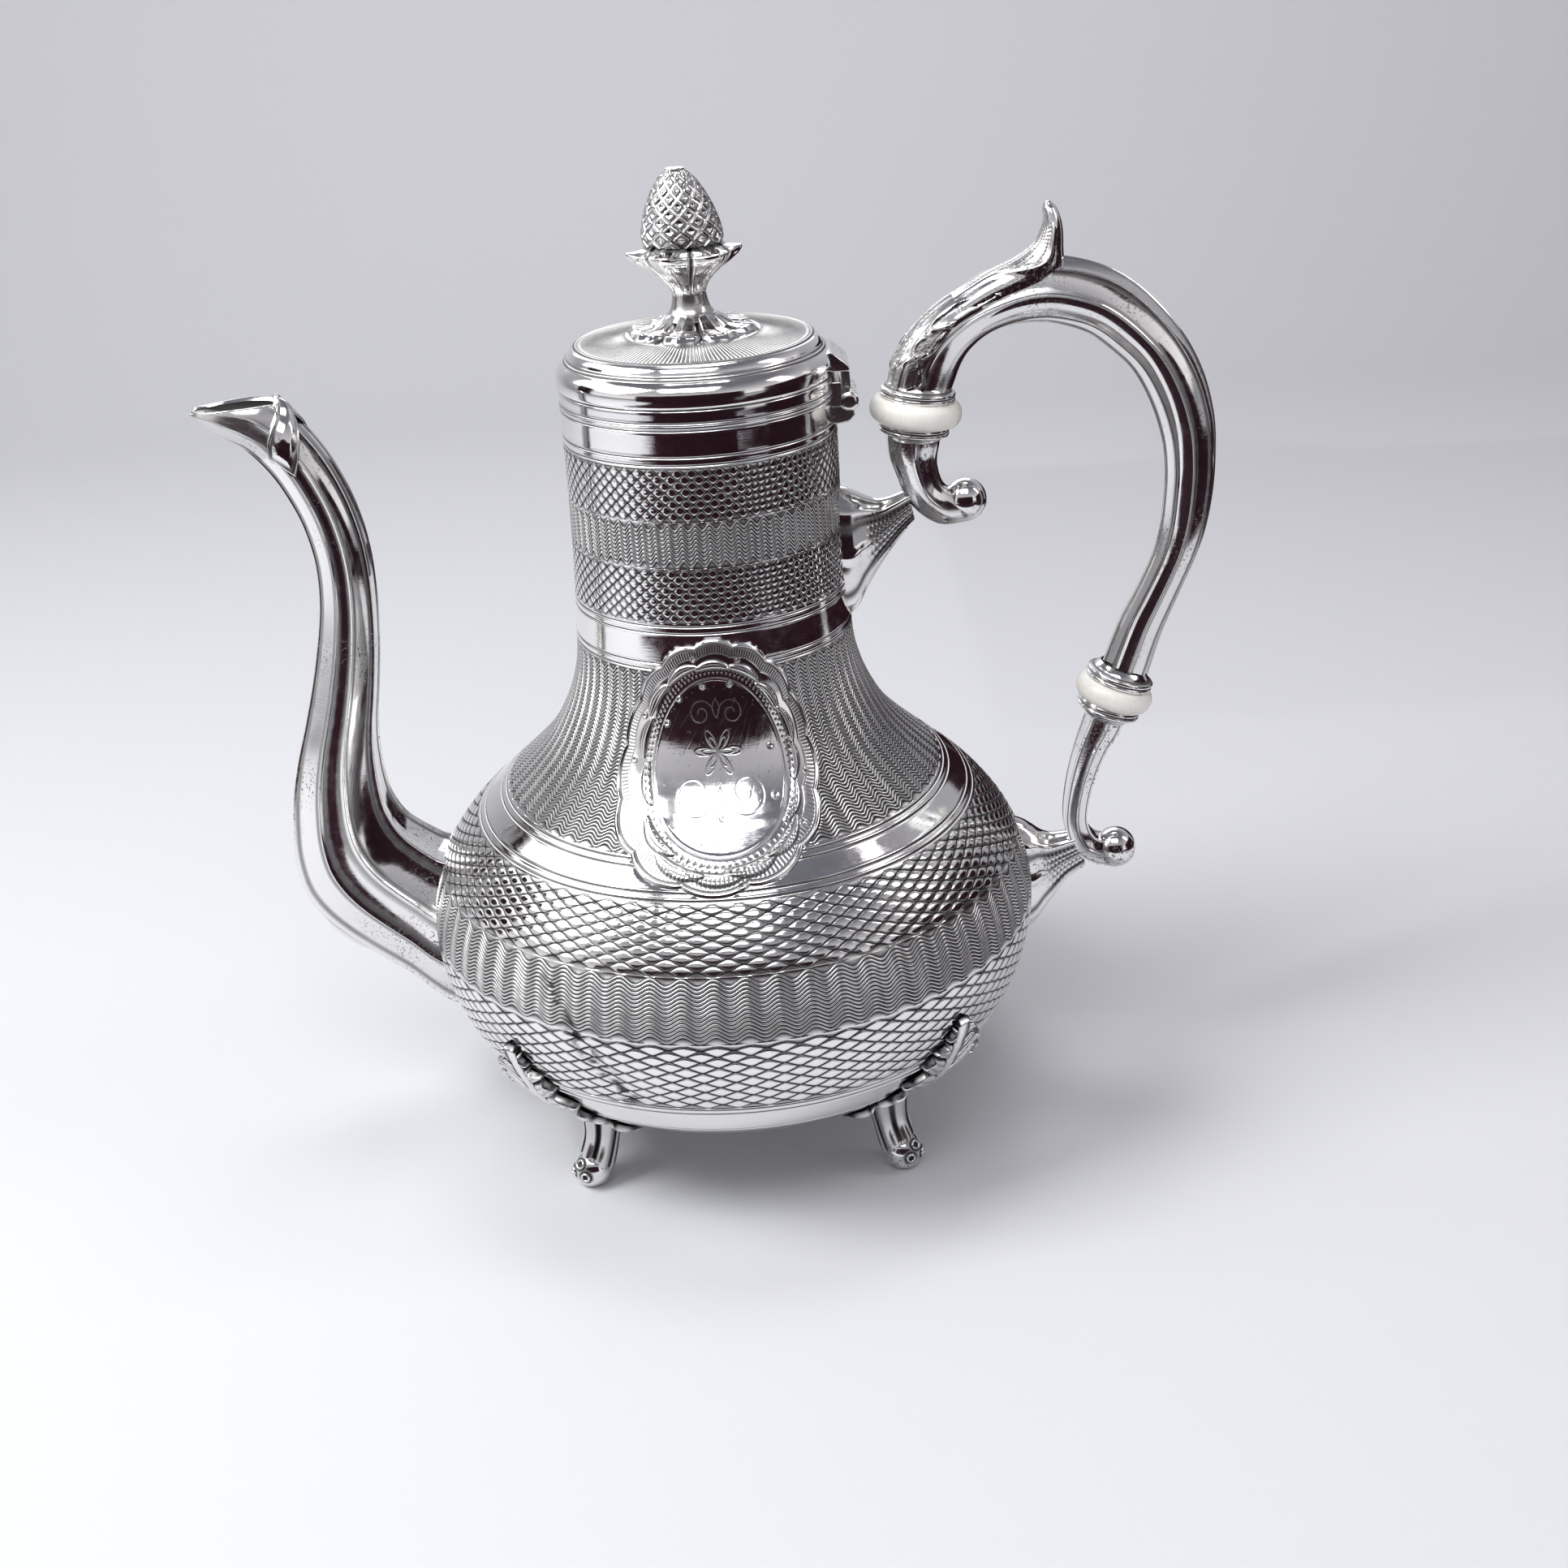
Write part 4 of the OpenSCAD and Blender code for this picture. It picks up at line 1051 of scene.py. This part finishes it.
LOWER_BRACKET = [[70, 81, 68, 44, 8.6], [76.8, 78.4, 78.6, 46.6, 8], [79.6, 76.6, 83.4, 52.6, 6.9],
                 [82.6, 74.4, 86.6, 57, 5.7], [85.8, 73.8, 89.4, 60.6, 4.8], [91, 74.4, 94, 64, 4]]


def build_sockets():
    """Each socket is a hooked casting with a ball end, on a chased bracket that lies against the vessel."""
    for name, hook, bracket, (x, z, r), ridges, depth in (
            ("upper_socket", UPPER_HOOK, UPPER_BRACKET, (63.6, 166.6, 5.2),
             [-150, -90, -40, 40, 90, 150], 0.35),
            ("lower_socket", LOWER_HOOK, LOWER_BRACKET, (101.9, 68.6, 5.4),
             [-135, -90, -45, 45, 90, 135], 1.0)):
        b = Build()
        cols = ridge_angles(ridges)
        skin, S, A = sweep(hook, cols, 12,
                           rho=lambda S, A: 1 + (panelled(A, ridges, 0.03, 0.035) - 1) * depth)
        # the dark line beside each ridge is a painted shadow line
        b.grid(skin, wrap=True, dirt=0.8 * depth * bell(ridge_gap(A, ridges) - 0.1, 0.035))
        b.grid(globe(40, 64) * [r, 0.98 * r, r] + [x, 0, z], wrap=True)
        cols = np.radians(np.arange(0, 360, 3.0))

        def plate(S, A):
            a = degrees_round(A)
            chain = scales(S, np.radians(np.abs(a)) * 6 + 40, 1.15)
            side = np.exp(-(((np.abs(a) - 92) / 36) ** 4)) * smoothstep(1, 4, S)
            rim = bell(np.abs(a) - 48, 6) + bell(np.abs(a) - 138, 6)
            far = smoothstep(13, 17, S)
            vein = bell(np.abs(a) - 78 - 1.2 * S, 5) * (1 - far)
            return (side * (0.2 * chain * far - 1.1) + 0.45 * rim + 0.5 * vein,
                    np.clip(side * far * (1 - chain) * 0.9 + 0.8 * bell(np.abs(a) - 62, 4)
                            + 0.8 * bell(np.abs(a) - 126, 4), 0, 1))

        skin, S, A = sweep(bracket, cols, 14, lift=lambda S, A: plate(S, A)[0])
        keep = outside_vessel((skin[:-1] + skin[1:]) / 2, 0.7)
        b.grid(skin, wrap=True, dirt=plate(S, A)[1], keep=keep)
        b.piece(f"{name}_cast", POT, CAST, "silver_cast", replaces=[name])


# ---------------------------------------------------------------- lid and finial

def build_lid():
    """The lid's turned cap, its top cut with fine rays, and the smooth wall under it."""
    outline = spline([[32.2, 200.8], [33.1, 200.8], [33.3, 202], [33.2, 204], [32.3, 205.6], [30.7, 207],
                      [29.8, 208.8], [28.4, 209.8], [24, 210.4], [17, 211.3], [9, 211.9], [2.1, 212]], 24)
    s = arc_length(outline)

    def near(r):
        """Distance along the outline at which it has the radius r."""
        return float(np.interp(r, outline[::-1, 0], s[::-1]))

    # turned lines, each (place along the outline, width, depth), where the rows are kept close together
    lines = [(near(30.9), 0.25, 0.22), (near(30.9) + 0.9, 0.16, 0.12), (near(28.3), 0.25, 0.22),
             (near(27.5), 0.12, 0.14)]
    keep = [0]
    for i in range(1, len(s)):
        fine = any(abs(s[i] - at) < 1.2 for at, _, _ in lines)
        if s[i] - s[keep[-1]] > (0.09 if fine else 0.55):
            keep.append(i)
    outline, s = outline[keep], s[keep]
    rays = 168
    az = circle(rays * 6)

    def cut(A, S):
        h, d = np.zeros_like(A), np.zeros_like(A)
        for at, width, depth in lines:
            h, d = h - depth * bell(S - at, width), np.maximum(d, bell(S - at, width * 1.1))
        r = np.interp(S, s, outline[:, 0])
        plate = smoothstep(27.2, 26.8, r) * smoothstep(15.5, 16.5, r) * (S > near(28.3))
        ray = 0.5 + 0.5 * np.cos(rays * A)
        return h - 0.15 * plate * ray ** 2, np.maximum(d, 0.85 * plate * ray ** 2)
    b = Build()
    b.grid(lathe(outline, az, lambda A, S: cut(A, S)[0]), wrap=True, dirt=cut(*np.meshgrid(az, s))[1])
    under = np.array([[32.2, 200.8], [32.3, 202], [32.1, 203.6], [31.4, 204.9], [30.0, 206.2], [28.9, 208.0],
                      [27.8, 208.8], [24, 209.4], [17, 210.3], [9, 210.9], [2.1, 211.0]])
    b.grid(lathe(spline(under, 4), az[::8]), wrap=True, inward=True, dirt=0.2)
    b.piece("lid_cap_turned", LID, SHEET, "silver_sheet", replaces=["lid_cap"])


def build_petals():
    """The eight-petalled rosette between the lid and the finial."""
    petals = 8
    t = np.linspace(0, 1, 44)[:, None]
    az = circle(petals * 48)[None, :]
    wave = np.abs(np.cos(petals / 2 * (az + 0.2)))
    edge = 12.3 + 3.6 * wave ** 0.6 + 0.35 * np.cos(petals * 3 * (az + 0.2))
    r = 3.2 + (edge - 3.2) * t
    lid_z = np.interp(r, [0, 9, 17, 24], [212.05, 211.95, 211.35, 210.45])
    crown = 3.4 * (1 - smoothstep(0.0, 0.55, t)) ** 0.8 + 1.35 * (1 - t ** 6)
    valley = bell(wave, 0.28) * smoothstep(0.15, 0.5, t)
    rib = bell(1 - wave, 0.012) * smoothstep(0.25, 0.5, t) * smoothstep(1.0, 0.8, t)
    z = lid_z + crown * (1 - 0.62 * valley) + 0.25 * rib - 0.35 * (t > 0.985)
    z = z + 0.45 * bell(t - 0.86, 0.09) * (1 - valley)
    dirt = np.clip(0.95 * bell(wave, 0.16) * smoothstep(0.15, 0.4, t) + 0.7 * (t > 0.97)
                   + 0.5 * bell(t - 0.33, 0.06), 0, 1)
    pts = np.stack([r * np.sin(az), -r * np.cos(az), z], -1)
    Build().grid(pts, wrap=True, dirt=dirt).piece(
        "petal_rosette_cast", LID, CAST, "silver_cast", replaces=["petal_rosette"])


def build_finial():
    """A flared six-lobed cup with a scaled cone in it, leaning slightly."""
    foot, lean = 214.6, -0.045
    stem = spline([[6.9, 0], [4.9, 2.2], [4.1, 5.0], [4.3, 6.6], [5.6, 8.8], [8.2, 11.4],
                   [10.4, 13.6], [11.3, 15.0], [11.35, 15.5], [10.6, 15.9], [9.6, 16.6], [8.6, 17.3]], 9)
    cols = circle(288)
    lobes, turn = 6, 0.35
    A, S = np.meshgrid(cols, arc_length(stem))
    span = S[-1, 0]
    wave = np.abs(np.cos(lobes / 2 * (A + turn)))
    rim = smoothstep(0.45 * span, 0.74 * span, S) * smoothstep(0.97 * span, 0.8 * span, S)
    under = smoothstep(0.25 * span, 0.45 * span, S) * smoothstep(0.78 * span, 0.7 * span, S)
    cleft = bell(wave, 0.16)
    ridge = bell(1 - wave, 0.01)
    reach = rim * (2.6 * wave ** 4 - 0.9 * cleft) - under * (0.75 * cleft + 0.25 * (1 - ridge) * wave)
    body = lathe(stem, cols)
    body = body + np.stack([reach * np.sin(A), -reach * np.cos(A), rim * (0.9 * wave ** 5 - 0.2)], -1)
    soil = 0.95 * cleft * smoothstep(0.25 * span, 0.5 * span, S) + 0.4 * under * bell(1 - wave - 0.05, 0.02)
    soil = soil + 0.35 * (S < 0.3 * span) + 0.7 * (S > 0.95 * span)
    b = Build().grid(body, wrap=True, dirt=np.clip(soil, 0, 1))
    cone = spline([[9.0, 17.4], [9.3, 18.6], [9.2, 20.4], [8.6, 23], [7.7, 25.6], [6.4, 28.4], [4.8, 31],
                   [2.9, 33.1], [1.9, 33.7]], 16)
    length = arc_length(cone)[-1]
    around, up = 12, 5.0

    def lattice(A, S):
        u, v = around * A / TAU + up * S / length, around * A / TAU - up * S / length
        g = np.maximum(np.abs(u % 1 - 0.5), np.abs(v % 1 - 0.5)) * 2       # 1 on a ridge, 0 mid-scale
        ridge = smoothstep(0.62, 0.86, g)
        knob = np.clip(1 - g / 0.5, 0, 1)
        size = np.interp(S, [0, length], [1.0, 0.35])
        split = bell(g - 0.97, 0.05)
        return size * (0.62 * ridge + 0.45 * knob - 0.18 * split - 0.25), bell(g - 0.58, 0.13) * 0.95

    b.grid(lathe(cone, cols, lambda A, S: lattice(A, S)[0]), wrap=True,
           dirt=lattice(*np.meshgrid(cols, arc_length(cone)))[1])
    nub = spline([[2.0, 33.2], [2.3, 33.7], [2.2, 34.1], [1.2, 34.35], [0.02, 34.4]], 5)
    b.grid(lathe(nub, cols[::6]), wrap=True)
    bend = np.eye(4)
    bend[0, 2], bend[2, 3] = lean, foot
    b.piece("finial_cast", LID, CAST, "silver_cast", replaces=["finial"], turn=bend)


# ---------------------------------------------------------------- feet

LEG = [[60, 36, 42, 32, 8.4], [58.6, 27, 44.6, 25.4, 7.4], [57.4, 20, 46.8, 19.4, 6.2],
       [57.6, 13.5, 48.4, 12.4, 5.2], [60, 8, 50.4, 5.6, 5], [61, 2.4, 54, 1.2, 4.4]]
LEAF_HALF = [(53.5, 0), (50.5, 4), (46.5, 5.5), (44.5, 9.5), (39.5, 10.5), (36.5, 14.5), (32, 16), (29.5, 22),
             (25.5, 20), (24.5, 10), (24, 0)]               # the leaf's outline: height, half width
TOE_R, TOE_Z, TOE_SIZE = 57.5, 4.6, 5


def direction(az, el):
    """Unit vector at azimuth az and elevation el, in degrees."""
    a, e = math.radians(az), math.radians(el)
    return np.array([math.cos(e) * math.cos(a), math.cos(e) * math.sin(a), math.sin(e)])


def build_foot(name, degrees):
    """A fluted leg on a round toe with three small rosettes, made at +X and turned into place."""
    turn = np.eye(4)
    c, s = math.cos(math.radians(degrees)), math.sin(math.radians(degrees))
    turn[:2, :2] = [[c, -s], [s, c]]
    b = Build()
    cols = np.radians(np.arange(0, 360, 3.0))

    def flutes(S, A):
        a = signed(A)
        front = smoothstep(1.75, 1.55, np.abs(a)) * smoothstep(31, 28, S)
        wave = np.cos(a * 6)
        side = smoothstep(1.7, 1.95, np.abs(a)) * smoothstep(30, 26, S)
        soil = front * smoothstep(-0.1, -0.9, wave) + 0.8 * side
        return 0.38 * wave * front - 0.35 * side, np.clip(soil, 0.22, 1)

    leg, S, A = sweep(LEG, cols, 12, lift=lambda S, A: flutes(S, A)[0])
    leg[..., 2] = np.maximum(leg[..., 2], 0.0)
    b.grid(leg, wrap=True, dirt=flutes(S, A)[1])
    unit = globe(64, 110)
    toe = unit * TOE_SIZE + [TOE_R, 0, TOE_Z]
    toe[..., 2] = np.maximum(toe[..., 2], 0)
    spots = [direction(*place) for place in ((2, 38), (-27, 4), (27, 2))]
    from_spot = np.min([np.linalg.norm(unit - spot, axis=-1) * TOE_SIZE for spot in spots], axis=0)
    b.grid(toe, wrap=True, dirt=0.95 * smoothstep(2.5, 1.5, from_spot))
    for spot in spots:
        n = Vector(spot)
        u = n.orthogonal().normalized()
        w = n.cross(u)
        centre = Vector((TOE_R, 0, TOE_Z)) + n * TOE_SIZE
        ring = [[list(centre + (u * math.cos(p) + w * math.sin(p)) * (1.0 + 0.34 * math.cos(q))
                      + n * 0.42 * math.sin(q)) for q in circle(10)] for p in np.linspace(0, TAU, 29)]
        b.grid(np.array(ring), wrap=True, dirt=0.05)

    # acanthus leaf lying on the belly: rows up it, columns across it
    heights = np.linspace(24.2, 53.3, 190)
    half = np.interp(heights, *zip(*LEAF_HALF[::-1]))
    kernel = np.hanning(11) / np.hanning(11).sum()
    half = np.maximum(np.convolve(np.pad(half, 5, mode="edge"), kernel, mode="valid"), 0.4)
    H, v = heights[:, None], np.linspace(-1, 1, 161)[None, :]
    lobe = (H - 24.2 - 7.5 * np.abs(v) ** 1.5 * smoothstep(0, 12, half[:, None])) / 5.2
    W = half[:, None] * (1 + 0.13 * np.sin(TAU * lobe + 0.6) * np.abs(v) ** 4)
    across = v * W
    side = np.abs(across)
    edge = (1 - np.abs(v)) * np.minimum(W, 9)
    rib = bell(across, 1.3)
    fan = lobe % 1                                   # place within a leaflet, from one cleft to the next
    cleft = bell(np.minimum(fan, 1 - fan), 0.09) * smoothstep(1.2, 2.6, side)
    hair = 0.5 + 0.5 * np.cos(TAU * lobe * 3)
    lift = (1.3 * smoothstep(0, 0.7, edge) + 0.75 * np.sin(math.pi * fan) ** 0.7 * smoothstep(1, 3, side)
            - 0.16 * hair * smoothstep(1.5, 3, side) - 1.0 * cleft + 0.9 * rib
            + 0.7 * bell(edge - 0.9, 0.6) * np.sin(math.pi * fan) - 0.3)
    dirt = np.clip(0.95 * cleft + 0.9 * bell(edge, 0.4) + 0.55 * hair ** 3 * smoothstep(1.5, 3, side)
                   + 0.8 * bell(side - 2.0, 0.45), 0, 1)
    s = s_at(H) + 0 * across
    r0 = np.interp(s, OUT_S, OUTLINE[:, 0])
    points = on_vessel(s, across / r0 + math.pi / 2, np.maximum(lift, -0.3))
    b.grid(points, dirt=dirt, flip=True)
    b.piece(f"{name}_cast", POT, CAST, "silver_cast", replaces=[name], turn=turn)


def finish_cad_nodes():
    """Materials for the plain CAD pieces that stay as they are."""
    for name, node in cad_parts.items():
        if node.type == "MESH" and not node.hide_render:
            for i in range(len(node.data.materials)):
                node.data.materials[i] = FITTING


turn_vessel()
vessel_inside()
build_panel()
build_hinge()
build_spout()
build_handle()
build_thumb()
build_rings()
build_sockets()
build_lid()
build_petals()
build_finial()
for foot_name, degrees in (("foot_front_left", -135), ("foot_front_right", -45), ("foot_rear_left", 135),
                           ("foot_rear_right", 45)):
    build_foot(foot_name, degrees)
finish_cad_nodes()
